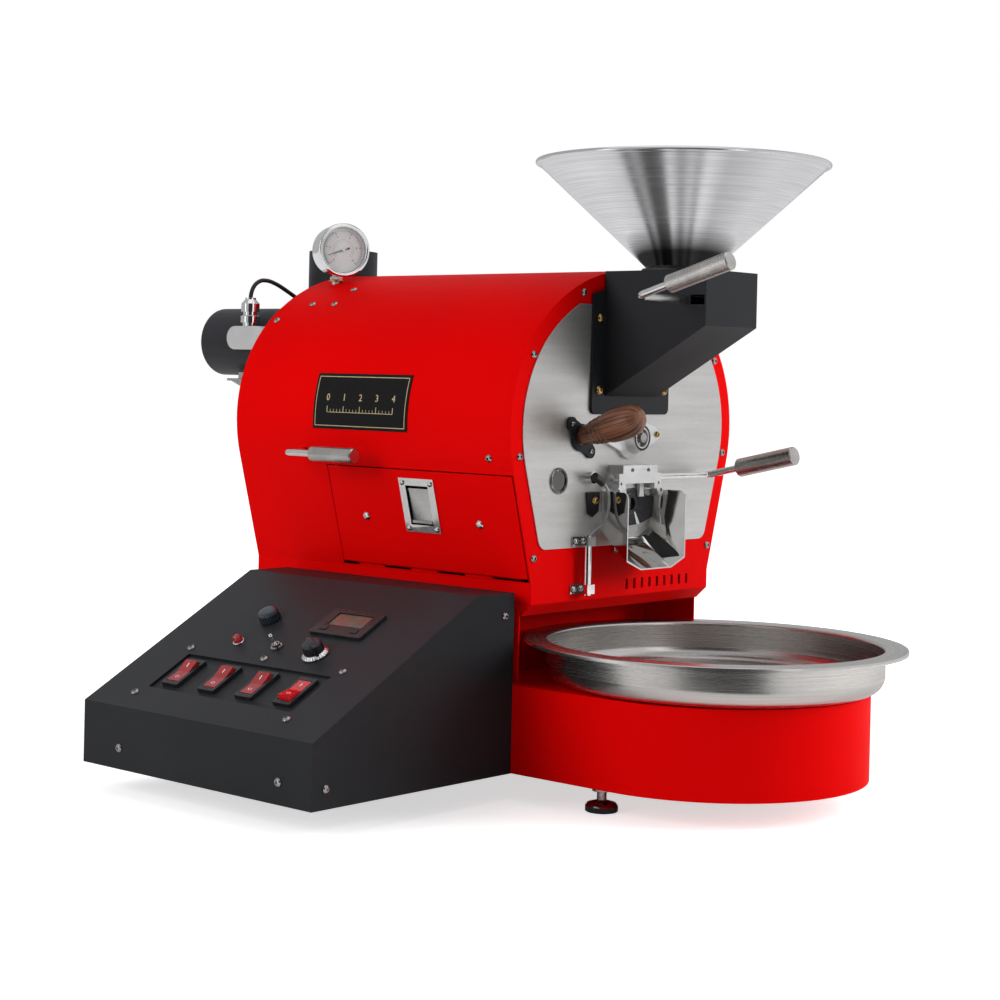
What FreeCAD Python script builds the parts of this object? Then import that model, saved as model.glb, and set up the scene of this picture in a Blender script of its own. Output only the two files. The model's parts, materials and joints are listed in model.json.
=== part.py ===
import FreeCAD, Part
import math
import os

V = FreeCAD.Vector
ORIGIN = V(0, 0, 0)
X_AXIS = V(1, 0, 0)
Y_AXIS = V(0, 1, 0)
Z_AXIS = V(0, 0, 1)
AHEAD = V(0, -1, 0)

# The machine is drawn with x = 0 on its centre line, y = 0 on the front panel's outer face,
# +y to the back, and z = 0 on the underside of the base. The last section moves it so that
# the origin lies at the middle of its footprint, on the surface that it stands on.

# Sheet and fits
sheet = 2.0
thin_sheet = 1.2
air_gap = 0.3
run_gap = 0.05
slide_gap = 0.5

# Levelling feet
foot_height = 28.0
foot_radius = 17.0
foot_thread = 5.0
foot_x = 140.0
foot_front_y = -85.0
foot_back_y = 375.0
box_foot_x = -335.0
box_foot_front_y = 140.0
box_foot_back_y = 325.0

# Body
body_length = 421.0
body_half = 198.0
arch_rise = 173.0
arch_z = 362.0
arch_side_radius = 158.0
taper_z = 321.0
waist_half = 158.6
waist_z = 198.0
body_bottom = 177.0
bevel_depth = 14.0
bevel_drop = 12.0

# Base, and the recess behind the pan
nose_radius = 169.4
nose_y = -118.0
base_back = 405.0
deck_z = 93.0
recess_back = 88.0

# Cooling pan
pan_y = -123.5
pan_rim = 203.0
pan_wall = 178.9
pan_rim_z = 139.3
pan_corner = 18.0
pan_lip = 4.0
pan_seat = 150.0
spigot_drop = 8.0
screen_pitch = 22.0
screen_hole = 3.5

# Face plate
face_inset = 18.5
face_low_half = 147.7
face_low_z = 234.0
face_top = 496.0
face_corner = 13.0
face_sheet = 1.5

# Vent slots in the front panel
vent_first_x = 4.0
vent_pitch = 14.0
vent_count = 9
vent_wide = 4.0
vent_low = 184.0
vent_high = 195.0

# Drum, its casing, its shaft and its bearings
drum_z = 352.0
drum_radius = 104.0
drum_wall = 2.5
drum_front = 14.0
drum_length = 236.0
vane_height = 16.0
vane_count = 6
jacket_gap = 8.0
casting_thick = 10.0
bulkhead_y = 262.0
shaft_radius = 10.0
bearing_reach = 20.0
bearing_radius = 15.0
bearing_half = 50.0

# Feed chute and hopper
chute_half = 47.3
chute_depth = 135.2
chute_top = 532.7
chute_front_low = 473.9
chute_back_low = 394.4
flange_half = 69.5
flange_low = 377.1
flange_high = 507.0
flange_peak = 513.0
flange_thick = 3.0
hopper_y = -67.3
hopper_rim = 157.0
hopper_rim_z = 652.1
neck_radius = 36.0
rim_bead = 3.0

# Hopper gate: a flap on a cross shaft, with its handle outside
rod_radius = 4.0
rod_bend = 8.0
gate_y = -108.0
gate_z = 501.0
gate_elbow_x = -128.0
gate_rise = 17.0
flap_length = 72.0
flap_sheet = 2.0
gate_grip_start = 40.0
gate_grip_length = 78.0
gate_grip_radius = 9.5

# Discharge spout, door and lever
spout_depth = 44.0
spout_top = 294.0
spout_back_half = 43.5
spout_front_half = 53.0
spout_side_low = 220.0
spout_floor = 210.0
spout_floor_share = 0.52
spout_rise = 30.0
spout_sheet = 1.5
spout_corner = 8.0
block_half = 38.0
block_depth = 20.0
block_low = 296.0
block_high = 322.0
hinge_y = -12.0
hinge_z = 308.0
door_half = 41.0
door_sheet = 5.0
door_arc = 97.0
port_z = 279.0
port_radius = 11.0
lever_x = 137.7
lever_rise = 13.0
lever_grip_start = 45.0
lever_grip_length = 76.0
lever_grip_radius = 10.5

# Trier
trier_x = -85.0
trier_z = 352.0
trier_tilt = 16.7
trier_tube = 8.5
trier_grip = 18.0
trier_length = 88.0
trier_depth = 70.0
trier_flange_turn = 43.0
trier_ear = 22.0

# View port beside the drum
view_x = -119.6
view_z = 306.3
view_radius = 14.0

# Bean probe, and the conduit that takes its lead down
probe_x = -66.0
probe_z = 309.0
probe_radius = 3.0
conduit_x = -77.0
conduit_y = -9.0
conduit_low = 183.0
conduit_high = 246.5
conduit_radius = 4.7
probe_lead_radius = 1.6

# Access door in the left side
door_front_y = 2.6
door_back_y = 277.0
panel_low = 201.0
panel_high = 313.0
seam = 1.2
low_seam = 2.6
swing_room = 0.9
pivot_depth = 4.0
knuckle_long = 40.0
latch_front = 116.5
latch_back = 167.5
latch_low = 244.0
latch_high = 303.0

# Airflow lever, its plate and its valve
flow_y = 308.0
flow_z = 325.4
flow_elbow_x = -225.0
flow_grip_start = 43.0
flow_grip_length = 66.0
flow_grip_radius = 8.5
plate_front = 147.0
plate_back = 292.0
plate_low = 353.0
plate_high = 415.0
valve_half = 34.0
valve_left = -160.0
valve_right = -50.0
duct_x = -80.0
duct_radius = 20.0

# Control housing, to the left of the base
box_left = -458.6
box_front = 13.6
box_back = 358.7
box_low_top = 65.3
ridge_x = -227.7
ridge_z = 189.5
box_sheet = 1.5

# Places on its slope: distance back from its front, and distance up the slope
rocker_s = 69.0
rocker_backs = (89.0, 145.3, 201.6, 257.9)
rocker_long = 38.0
rocker_half_wide = 8.7
bezel_wide = 25.4
bezel_long = 45.0
rocker_tilts = (8.0, -8.0, -8.0, -8.0)
recess_s = (38.0, 100.0)
recess_backs = (66.0, 282.0)
recess_deep = 3.0
knob_back = 115.9
knob_s = 129.7
knob_radius = 15.0
dial_back = 228.1
dial_s = 176.2
dial_radius = 12.0
lamp_back = 234.4
lamp_s = 131.6
toggle_back = 175.4
toggle_s = 131.7
toggle_lean = 14.0
meter_backs = (80.7, 155.4)
meter_s = (162.0, 207.0)
button_offset = 22.0

# Gauge on the top of the body
gauge_x = -70.0
gauge_y = 391.0
gauge_z = 562.0
gauge_ring = 32.0
gauge_body = 30.0
gauge_front = 30.0
gauge_depth = 36.0
gauge_turn = -26.0
needle_angle = 199.0

# Drum drive at the back
motor_x = -98.0
motor_z = 451.0
motor_radius = 41.0
motor_end = 560.0
motor_shaft_radius = 7.0
belt_y = 386.0
belt_wide = 10.0
belt_thick = 3.0
drum_pulley = 60.0
motor_pulley = 25.0
terminal_y = 458.5
terminal_z = 455.0
terminal_half = 33.5
terminal_round = 14.0
motor_lead_radius = 2.5

# Exhaust blower and stack
stack_x = 20.0
stack_y = 470.0
stack_radius = 43.0
stack_top = 568.0
stack_low = 345.0
scroll_x = 65.0
scroll_z = 230.0
scroll_radius = 86.0
inlet_radius = 35.0
wheel_radius = 60.0
blade_count = 12
blower_radius = 34.0
blower_end = 556.0

# Gas
gas_x = 124.0
gas_z = 150.0
gas_bore = 9.3
gas_socket = 12.0
gas_pipe_radius = 6.0
gas_pipe_bend = 16.0
burner_half = 70.0
burner_front = 105.0
burner_back = 235.0
burner_low = 192.0
burner_high = 222.0

nodes = {}


# Helpers
def block(x0, x1, y0, y1, z0, z1):
    return Part.makeBox(x1 - x0, y1 - y0, z1 - z0, V(x0, y0, z0))


def rod(start, end, radius):
    way = end - start
    return Part.makeCylinder(radius, way.Length, start, way)


def tube(start, end, outer, inner):
    way = end - start
    extra = way * (1.0 / way.Length)
    return rod(start, end, outer).cut(rod(start - extra, end + extra, inner))


def join(first, *others):
    shape = first
    for other in others:
        shape = shape.fuse(other)
    return shape.removeSplitter()


def group(shapes):
    return Part.makeCompound(list(shapes))


def polygon(points):
    return Part.Face(Part.makePolygon([*points, points[0]]))


def prism_y(outline, y0, y1):
    face = polygon([V(x, y0, z) for x, z in outline])
    return face.extrude(V(0, y1 - y0, 0))


def prism_x(outline, x0, x1):
    face = polygon([V(x0, y, z) for y, z in outline])
    return face.extrude(V(x1 - x0, 0, 0))


def turned(profile, centre, axis=Z_AXIS, across=X_AXIS):
    """A solid of revolution: the profile's pairs are radius and distance along the axis."""
    points = [centre + across * r + axis * h for r, h in profile]
    return polygon(points).revolve(centre, axis, 360)


def filleted(shape, radius, chosen):
    return shape.makeFillet(radius, [edge for edge in shape.Edges if chosen(edge)])


def runs_along(edge, axis):
    if len(edge.Vertexes) != 2:
        return False
    way = edge.Vertexes[1].Point - edge.Vertexes[0].Point
    return way.Length > 0.1 and way.cross(axis).Length < 0.01 * way.Length


def mirror_x(shape):
    return shape.mirror(ORIGIN, X_AXIS)


def grip(start, way, first, length, radius):
    """A machined cylindrical grip with a chamfer at each end, on a rod that leaves start."""
    chamfer = 1.2
    profile = [
        (0, first),
        (radius - chamfer, first),
        (radius, first + chamfer),
        (radius, first + length - chamfer),
        (radius - chamfer, first + length),
        (0, first + length),
    ]
    return turned(profile, start, way, X_AXIS)


def rounded_path(points, bend=None):
    """Straight runs joined by arcs that touch both: of radius bend, or as large as the runs allow."""
    edges = []
    radii = []
    start = points[0]
    for before, corner, after in zip(points, points[1:], points[2:]):
        back = before - corner
        onward = after - corner
        half_turn = (math.pi - back.getAngle(onward)) / 2
        radius = bend or 0.45 * min(back.Length, onward.Length) / math.tan(half_turn)
        reach = radius * math.tan(half_turn)
        back.normalize()
        onward.normalize()
        first = corner + back * reach
        last = corner + onward * reach
        centre = corner + (back + onward).normalize() * (radius / math.cos(half_turn))
        middle = centre + (corner - centre).normalize() * radius
        edges.append(Part.LineSegment(start, first).toShape())
        edges.append(Part.Arc(first, middle, last).toShape())
        radii.append(round(radius, 1))
        start = last
    edges.append(Part.LineSegment(start, points[-1]).toShape())
    return Part.Wire(edges), radii


def round_bar(path, start, onward, radius):
    section = Part.Wire([Part.makeCircle(radius, start, onward - start)])
    return path.makePipeShell([section], True, False)


def bent_rod(points, radius, bend):
    path, _ = rounded_path(points, bend)
    return round_bar(path, points[0], points[1], radius)


def swept_tube(points, radius, name):
    path, radii = rounded_path(points)
    shape = round_bar(path, points[0], points[1], radius)
    expected = math.pi * radius * radius * path.Length
    print(name, "radii", radii, "length", round(path.Length, 1))
    print(name, "volume share", round(shape.Volume / expected, 4))
    return shape


def rising(degrees):
    """The way forward, raised by an angle."""
    angle = math.radians(degrees)
    return V(0, -math.cos(angle), math.sin(angle))


# Screws: each place is a point, its way out, the head's radius and height, and the shank's length
shank_share = 0.45


def button_screw(point, out, head, height, shank):
    """A domed screw head with a hexagon socket, and the shank behind it."""
    side = out.cross(Y_AXIS)
    if side.Length < 0.1:
        side = out.cross(X_AXIS)
    side.normalize()
    other = out.cross(side)
    dome = turned(
        [(0, 0), (head, 0), (head, height * 0.35), (head * 0.78, height * 0.8), (head * 0.45, height),
         (0, height)], point, out, side)
    corners = []
    for step in range(6):
        angle = math.radians(60 * step)
        reach = side * (math.cos(angle) * head * 0.42) + other * (math.sin(angle) * head * 0.42)
        corners.append(point + out * (height * 0.4) + reach)
    socket = polygon(corners).extrude(out * height)
    body = dome.fuse(rod(point - out * shank, point + out * (height * 0.2), head * shank_share))
    return body.cut(socket)


def screws(places):
    return [button_screw(*place) for place in places]


def screw_holes(places):
    holes = []
    for point, out, head, _, shank in places:
        holes.append(rod(point - out * (shank + 1), point + out, head * shank_share + run_gap))
    return group(holes)


# Body outline: an arch of three arcs that meet smoothly, tapered sides and an upright waist
arch_side_x = body_half - arch_side_radius
arch_crown_radius = arch_side_x ** 2 + arch_rise ** 2 - arch_side_radius ** 2
arch_crown_radius /= 2 * (arch_rise - arch_side_radius)
arch_crown_z = arch_z + arch_rise - arch_crown_radius
arch_join = math.atan2(arch_z - arch_crown_z, arch_side_x)
arch_join_x = arch_crown_radius * math.cos(arch_join)


def half_width(z):
    """Half the body's width at a height below the crown's arc."""
    if z <= waist_z:
        return waist_half
    if z >= taper_z:
        return arch_edge(0, z)
    return waist_half + (arch_edge(0, taper_z) - waist_half) * (z - waist_z) / (taper_z - waist_z)


def arch_edge(inset, z):
    return arch_side_x + math.sqrt((arch_side_radius - inset) ** 2 - (z - arch_z) ** 2)


def arch_height(x):
    if abs(x) < arch_join_x:
        return arch_crown_z + math.sqrt(arch_crown_radius ** 2 - x ** 2)
    return arch_z + math.sqrt(arch_side_radius ** 2 - (abs(x) - arch_side_x) ** 2)


def arch_point(inset, angle, y):
    """A point on one of the side arcs; the angle is measured from level, on the right."""
    r = arch_side_radius - inset
    return V(arch_side_x + r * math.cos(angle), y, arch_z + r * math.sin(angle))


def crown_point(inset, x, y):
    return V(x, y, arch_crown_z + math.sqrt((arch_crown_radius - inset) ** 2 - x ** 2))


def flip(point):
    return V(-point.x, point.y, point.z)


def straight(points):
    return [Part.LineSegment(p, q).toShape() for p, q in zip(points, points[1:])]


def side_arc(inset, y):
    """The right side arc, from the taper up to where the crown's arc begins."""
    low = V(arch_edge(inset, taper_z), y, taper_z)
    high = arch_point(inset, arch_join, y)
    return low, arch_point(inset, arch_join / 2, y), high


def body_solid(inset, y0, y1, bottom):
    """The body's outline as seen from the front, moved inwards by inset and drawn from y0 to y1."""
    low, middle, high = side_arc(inset, y0)
    half = waist_half - inset
    corners = [low, V(half, y0, waist_z), V(half, y0, bottom)]
    edges = [
        *straight([*corners, *[flip(p) for p in reversed(corners)]]),
        Part.Arc(flip(low), flip(middle), flip(high)).toShape(),
        Part.Arc(flip(high), crown_point(inset, 0, y0), high).toShape(),
        Part.Arc(high, middle, low).toShape(),
    ]
    return Part.Face(Part.Wire(edges)).extrude(V(0, y1 - y0, 0))


def face_solid(y0, y1):
    """The face plate's outline: the body's arch moved inwards, cut flat at the top and the bottom."""
    low, middle, high = side_arc(face_inset, y0)
    top_half = math.sqrt((arch_crown_radius - face_inset) ** 2 - (face_top - arch_crown_z) ** 2)
    top = V(top_half, y0, face_top)
    shoulder = crown_point(face_inset, (high.x + top.x) / 2, y0)
    foot = V(face_low_half, y0, face_low_z)
    edges = [
        *straight([low, foot, flip(foot), flip(low)]),
        Part.Arc(flip(low), flip(middle), flip(high)).toShape(),
        Part.Arc(flip(high), flip(shoulder), flip(top)).toShape(),
        *straight([flip(top), top]),
        Part.Arc(top, shoulder, high).toShape(),
        Part.Arc(high, middle, low).toShape(),
    ]
    plate = Part.Face(Part.Wire(edges)).extrude(V(0, y1 - y0, 0))

    def at_foot(edge):
        return runs_along(edge, Y_AXIS) and abs(edge.Vertexes[0].Z - face_low_z) < 1
    return filleted(plate, face_corner, at_foot)


def side_slab(z0, z1, y0, y1, inner, outer):
    """A slab along the left side: inner and outer are distances out from the body's skin."""
    outline = [
        (-(half_width(z0) + inner), z0),
        (-(half_width(z1) + inner), z1),
        (-(half_width(z1) + outer), z1),
        (-(half_width(z0) + outer), z0),
    ]
    return prism_y(outline, y0, y1)


def side_normal(z):
    widening = half_width(z + 1) - half_width(z - 1)
    return V(-2, 0, -widening).normalize()


def side_place(y, z, head=4.8, height=2.6, out=0.0, shank=4.0):
    normal = side_normal(z)
    return (V(-half_width(z), y, z) + normal * out, normal, head, height, shank)


def arch_place(x, y, head=4.2, height=2.4, shank=4.0):
    centre = V(0, y, arch_crown_z)
    if abs(x) > arch_join_x:
        centre = V(math.copysign(arch_side_x, x), y, arch_z)
    point = V(x, y, arch_height(x))
    return (point, (point - centre).normalize(), head, height, shank)


def mirrored_place(place):
    point, out, head, height, shank = place
    return (flip(point), flip(out), head, height, shank)


# Screw places
front_places = []
for front_x, front_z in ((182.7, 332.8), (156.4, 225.8), (163.4, 439.4), (82.0, 508.0)):
    for side_sign in (-1, 1):
        front_places.append((V(side_sign * front_x, 0, front_z), AHEAD, 4.2, 2.8, 4.0))

wrap_places = [
    side_place(31.6, 329.8, head=4.2),
    arch_place(-126.0, 371.7),
    arch_place(-126.0, 335.2),
    arch_place(-95.3, 334.8),
]
for right_y in (60.0, 227.0, 380.0):
    wrap_places.append(mirrored_place(side_place(right_y, 257.0)))
for top_x in (-150.0, 60.0, 150.0):
    wrap_places.append(arch_place(top_x, body_length - 14))

chute_places = []
for bolt_z in (403.5, 481.2):
    for side_sign in (-1, 1):
        chute_places.append((V(side_sign * 58.4, -face_sheet - flange_thick, bolt_z), AHEAD, 5.2, 4.0, 2.5))

bearing_foot = 5.0
bearing_places = []
for side_sign in (-1, 1):
    bearing_places.append((V(side_sign * 46.0, -face_sheet - bearing_foot, drum_z + 3), AHEAD, 3.4, 3.0, 4.0))

trier_plate = 3.0
flange_angle = math.radians(trier_flange_turn)
trier_places = []
for side_sign in (-1, 1):
    ear_x = trier_x + side_sign * trier_ear * math.cos(flange_angle)
    ear_z = trier_z - side_sign * trier_ear * math.sin(flange_angle)
    trier_places.append((V(ear_x, -face_sheet - trier_plate, ear_z), AHEAD, 3.0, 2.0, 2.5))

door_places = [side_place(227.0, 257.0), side_place(59.0, 258.0)]
latch_places = []
for latch_y in (latch_front + 5, latch_back - 5):
    for latch_z in (latch_low + 4.5, latch_high - 4.5):
        latch_places.append(side_place(latch_y, latch_z, head=3.2, height=2.0, out=1.5, shank=2.5))

# Passages through the front
feed_half = chute_half - 4 * sheet
feed_low = 408.0
feed_high = 448.0
discharge_half = 36.0
discharge_low = 262.0
discharge_high = 288.0
trier_way = rising(trier_tilt)
trier_seat = V(trier_x, 0, trier_z)
trier_bore = trier_tube + slide_gap


def front_passages(y0, y1):
    return group([
        block(-feed_half, feed_half, y0, y1, feed_low, feed_high),
        block(-discharge_half, discharge_half, y0, y1, discharge_low, discharge_high),
        rod(trier_seat + trier_way * 40, trier_seat - trier_way * 60, trier_bore),
        rod(V(view_x, y0, view_z), V(view_x, y1, view_z), view_radius - 3 + air_gap),
        rod(V(0, y0, drum_z), V(0, y1, drum_z), shaft_radius + 1),
        rod(V(probe_x, y0, probe_z), V(probe_x, y1, probe_z), probe_radius + run_gap),
    ])


# Body panels
def make_front_panel():
    panel = body_solid(0, 0, sheet, body_bottom)
    bevel = prism_x(
        [(0, body_bottom), (sheet, body_bottom), (bevel_depth + sheet, body_bottom - bevel_drop),
         (bevel_depth, body_bottom - bevel_drop - sheet * 0.5)],
        -waist_half, waist_half)
    slots = []
    for step in range(vent_count):
        x = vent_first_x + vent_pitch * step
        slots.append(block(x, x + vent_wide, -1, sheet + 1, vent_low, vent_high))
    panel = join(panel, bevel).cut(front_passages(-1, sheet + 1))
    return panel.cut(group(slots)).cut(screw_holes(front_places))


def make_face_plate():
    return face_solid(-face_sheet, 0).cut(front_passages(-face_sheet - 1, 1))


def make_body_wrap():
    outer = body_solid(0, sheet, body_length - sheet, body_bottom)
    inner = body_solid(thin_sheet, sheet - 1, body_length - sheet + 1, body_bottom - 5)
    window = side_slab(panel_low - swing_room, panel_high, 0, door_back_y, -20, 5)
    lever_hole = rod(V(-body_half - 20, flow_y, flow_z), V(-150, flow_y, flow_z), rod_radius + 1)
    stem_hole = rod(V(gauge_x, gauge_y, 480), V(gauge_x, gauge_y, 560), 5.5)
    wrap = outer.cut(inner).cut(window).cut(lever_hole).cut(stem_hole)
    return wrap.cut(screw_holes(wrap_places))


def make_rear_panel():
    panel = body_solid(0, body_length - sheet, body_length, body_bottom)
    shaft_hole = rod(V(motor_x, 400, motor_z), V(motor_x, 440, motor_z), motor_shaft_radius + 2)
    inlet = rod(V(scroll_x, 400, scroll_z), V(scroll_x, 440, scroll_z), inlet_radius)
    return panel.cut(shaft_hole).cut(inlet)


def make_body_floor():
    half = waist_half - thin_sheet
    floor = block(-half, half, sheet, body_length - sheet, body_bottom, body_bottom + sheet)
    opening = block(-burner_half + 10, burner_half - 10, burner_front + 10, burner_back - 10, 170, 190)
    return floor.cut(opening)


# Base
def base_outline(inset):
    """Plan of the base: straight sides and back, with a half-round nose at the front."""
    r = nose_radius - inset
    back = base_back - inset
    left = V(-r, nose_y, 0)
    right = V(r, nose_y, 0)
    nose = Part.Arc(left, V(0, nose_y - r, 0), right).toShape()
    return Part.Face(Part.Wire([nose, *straight([right, V(r, back, 0), V(-r, back, 0), left])]))


def make_base_shell():
    outer = base_outline(0).extrude(V(0, 0, deck_z))
    inner = base_outline(sheet).extrude(V(0, 0, deck_z - 2 * sheet))
    inner.translate(V(0, 0, sheet))
    seat = rod(V(0, pan_y, deck_z - 10), V(0, pan_y, deck_z + 5), pan_seat)
    slots = []
    for step in range(-6, 7):
        slots.append(block(12 * step - 3, 12 * step + 3, base_back - 5, base_back + 5, 25, 70))
    shell = outer.cut(inner).cut(seat).cut(group(slots))
    return join(shell, make_pedestal())


def make_pedestal():
    """The upright sheet walls between the base and the body, open at the front under the bevel."""
    half = waist_half
    side_outline = [
        (bevel_depth + sheet, deck_z),
        (base_back, deck_z),
        (base_back, body_bottom),
        (sheet, body_bottom),
        (bevel_depth + sheet, body_bottom - bevel_drop),
    ]
    left = prism_x(side_outline, -half, -half + sheet)
    rear = block(-half, half, base_back - sheet, base_back, deck_z, body_bottom)
    recess = block(-half, half, recess_back, recess_back + sheet, deck_z, body_bottom)
    inlet = rod(V(gas_x, base_back - 10, gas_z), V(gas_x, base_back + 10, gas_z), gas_bore + 3.5)
    return join(left, mirror_x(left), rear, recess).cut(inlet)


foot_places = [
    (-foot_x, foot_front_y),
    (foot_x, foot_front_y),
    (-foot_x, foot_back_y),
    (foot_x, foot_back_y),
    (box_foot_x, box_foot_front_y),
    (box_foot_x, box_foot_back_y),
]


def make_feet():
    feet = []
    low = -foot_height
    profile = [
        (0, low),
        (foot_radius - 1, low),
        (foot_radius, low + 1),
        (foot_radius, low + 6),
        (foot_radius - 2, low + 9),
        (foot_thread + 3, low + 11),
        (foot_thread, low + 12),
        (foot_thread, -7),
        (2 * foot_thread, -7),
        (2 * foot_thread, 0),
        (0, 0),
    ]
    for x, y in foot_places:
        feet.append(turned(profile, V(x, y, 0)))
    return group(feet)


# Cooling pan
def make_pan():
    low = deck_z + air_gap
    r = pan_wall
    t = thin_sheet
    spigot = pan_seat - 1.5
    outer = Part.makeCylinder(r, pan_rim_z - low, V(0, pan_y, low))
    outer = filleted(outer, pan_corner, lambda e: abs(e.CenterOfMass.z - low) < 0.1 and e.Closed)
    inner = Part.makeCylinder(r - t, pan_rim_z - low, V(0, pan_y, low + t))
    inner = filleted(inner, pan_corner - t, lambda e: abs(e.CenterOfMass.z - low - t) < 0.1 and e.Closed)
    flange = turned(
        [(r - t, pan_rim_z - t), (pan_rim - 2, pan_rim_z - t), (pan_rim - t, pan_rim_z - pan_lip),
         (pan_rim, pan_rim_z - pan_lip), (pan_rim, pan_rim_z - 1), (pan_rim - 1, pan_rim_z),
         (r - t, pan_rim_z)],
        V(0, pan_y, 0))
    opening = rod(V(0, pan_y, low - 1), V(0, pan_y, low + 5), spigot - 6)
    skirt = tube(V(0, pan_y, low - spigot_drop), V(0, pan_y, low + t), spigot, spigot - t)
    return join(outer.cut(inner).cut(opening), flange, skirt)


def make_pan_screen():
    low = deck_z + air_gap + thin_sheet
    screen = rod(V(0, pan_y, low), V(0, pan_y, low + thin_sheet), pan_wall - pan_corner - 1)
    holes = []
    for ring in range(7):
        count = max(1, 6 * ring)
        for step in range(count):
            angle = 2 * math.pi * step / count
            x = ring * screen_pitch * math.cos(angle)
            y = pan_y + ring * screen_pitch * math.sin(angle)
            holes.append(rod(V(x, y, low - 1), V(x, y, low + 3), screen_hole))
    return screen.cut(group(holes))


# Hopper, feed chute and gate
def make_hopper():
    low = chute_top + 3
    lean = (hopper_rim - neck_radius) / (hopper_rim_z - low)
    flat = thin_sheet * math.sqrt(1 + lean * lean)
    bore = neck_radius - flat
    centre = V(0, hopper_y, 0)
    cone = turned(
        [(neck_radius, low), (hopper_rim, hopper_rim_z), (hopper_rim - flat, hopper_rim_z),
         (bore, low)], centre)
    neck = tube(V(0, hopper_y, gate_z + 12), V(0, hopper_y, low + 1), neck_radius, bore)
    collar = tube(V(0, hopper_y, chute_top), V(0, hopper_y, low), neck_radius + 6, bore)
    bead_centre = V(0, hopper_y, hopper_rim_z - rim_bead)
    bead = Part.makeTorus(hopper_rim - rim_bead * 0.2, rim_bead, bead_centre, Z_AXIS)
    cavity = turned([(0, low), (bore, low), (hopper_rim - flat, hopper_rim_z), (0, hopper_rim_z)], centre)
    return join(cone, neck, collar, bead.cut(cavity))


def chute_profile(inset, back):
    """Side view of the feed chute: level top, upright front, slanting floor, open at the back."""
    depth = chute_depth - inset
    slope = (chute_front_low - chute_back_low) / chute_depth
    raised = inset * math.sqrt(1 + slope * slope)
    return [
        (back, chute_top - inset),
        (-depth, chute_top - inset),
        (-depth, chute_back_low + slope * depth + raised),
        (back, chute_back_low - slope * back + raised),
    ]


def make_feed_chute():
    outer = prism_x(chute_profile(0, -face_sheet), -chute_half, chute_half)
    inner = prism_x(chute_profile(sheet, 10), -chute_half + sheet, chute_half - sheet)
    plate = prism_y(
        [(-flange_half, flange_low), (flange_half, flange_low), (flange_half, flange_high),
         (chute_half, flange_peak), (-chute_half, flange_peak), (-flange_half, flange_high)],
        -face_sheet - flange_thick, -face_sheet)
    plate = filleted(plate, 7, lambda e: runs_along(e, Y_AXIS) and abs(e.Vertexes[0].Z - flange_low) < 1)
    neck_hole = rod(V(0, hopper_y, chute_top - 10), V(0, hopper_y, chute_top + 5), neck_radius + air_gap)
    edge = chute_half + 5
    shaft_hole = rod(V(-edge, gate_y, gate_z), V(edge, gate_y, gate_z), rod_radius + run_gap)
    notch = block(-edge, -chute_half + sheet + 1, -chute_depth + sheet, gate_y - rod_radius - 3,
                  gate_z - 5, gate_z + 5)
    chute = join(outer, plate).cut(inner).cut(neck_hole).cut(shaft_hole).cut(notch)
    return chute.cut(screw_holes(chute_places))


def make_gate():
    inside = chute_half - sheet - 2
    flap_low = gate_z + rod_radius - flap_sheet
    flap = block(-inside, inside, gate_y, gate_y + flap_length, flap_low, flap_low + flap_sheet)
    elbow = V(gate_elbow_x, gate_y, gate_z)
    way = rising(gate_rise)
    shaft = bent_rod([V(chute_half + 3, gate_y, gate_z), elbow, elbow + way * (gate_grip_start + 8)],
                     rod_radius, rod_bend)
    handle = grip(elbow, way, gate_grip_start, gate_grip_length, gate_grip_radius).cut(shaft)
    return group([join(flap, shaft), handle])


# Discharge spout, hinge block, door and lever
def spout_section(share, inset, top):
    """The spout's outline between the face, at share 0, and its front edge, at share 1."""
    y = -face_sheet - share * (spout_depth - face_sheet)
    half = spout_back_half + (spout_front_half - spout_back_half) * share - inset
    drop = spout_rise * share
    side_low = spout_side_low + spout_rise - drop + inset
    floor = spout_floor + spout_rise - drop + inset
    floor_half = half * spout_floor_share
    return [V(-half, y, top), V(-half, y, side_low), V(-floor_half, y, floor),
            V(floor_half, y, floor), V(half, y, side_low), V(half, y, top)]


def spout_loft(first, last, inset, top):
    wires = []
    for share in (first, last):
        points = spout_section(share, inset, top)
        wires.append(Part.makePolygon([*points, points[0]]))
    return Part.makeLoft(wires, True, True)


def make_spout():
    outer = spout_loft(0.0, 1.0, 0.0, spout_top)
    inner = spout_loft(-0.3, 1.3, spout_sheet, spout_top + 20)
    round_y = -spout_depth + spout_corner
    round_z = spout_top - spout_corner
    far = spout_front_half + 5
    corner = block(-far, far, round_y - 2 * spout_corner, round_y, round_z, spout_top + 5)
    corner = corner.cut(rod(V(-far, round_y, round_z), V(far, round_y, round_z), spout_corner))
    walls = outer.cut(inner).cut(corner)
    low = spout_floor + spout_rise
    tab = block(-22, 22, -face_sheet - spout_sheet, -face_sheet, low - 14, low + spout_sheet)
    return join(walls, tab)


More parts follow.
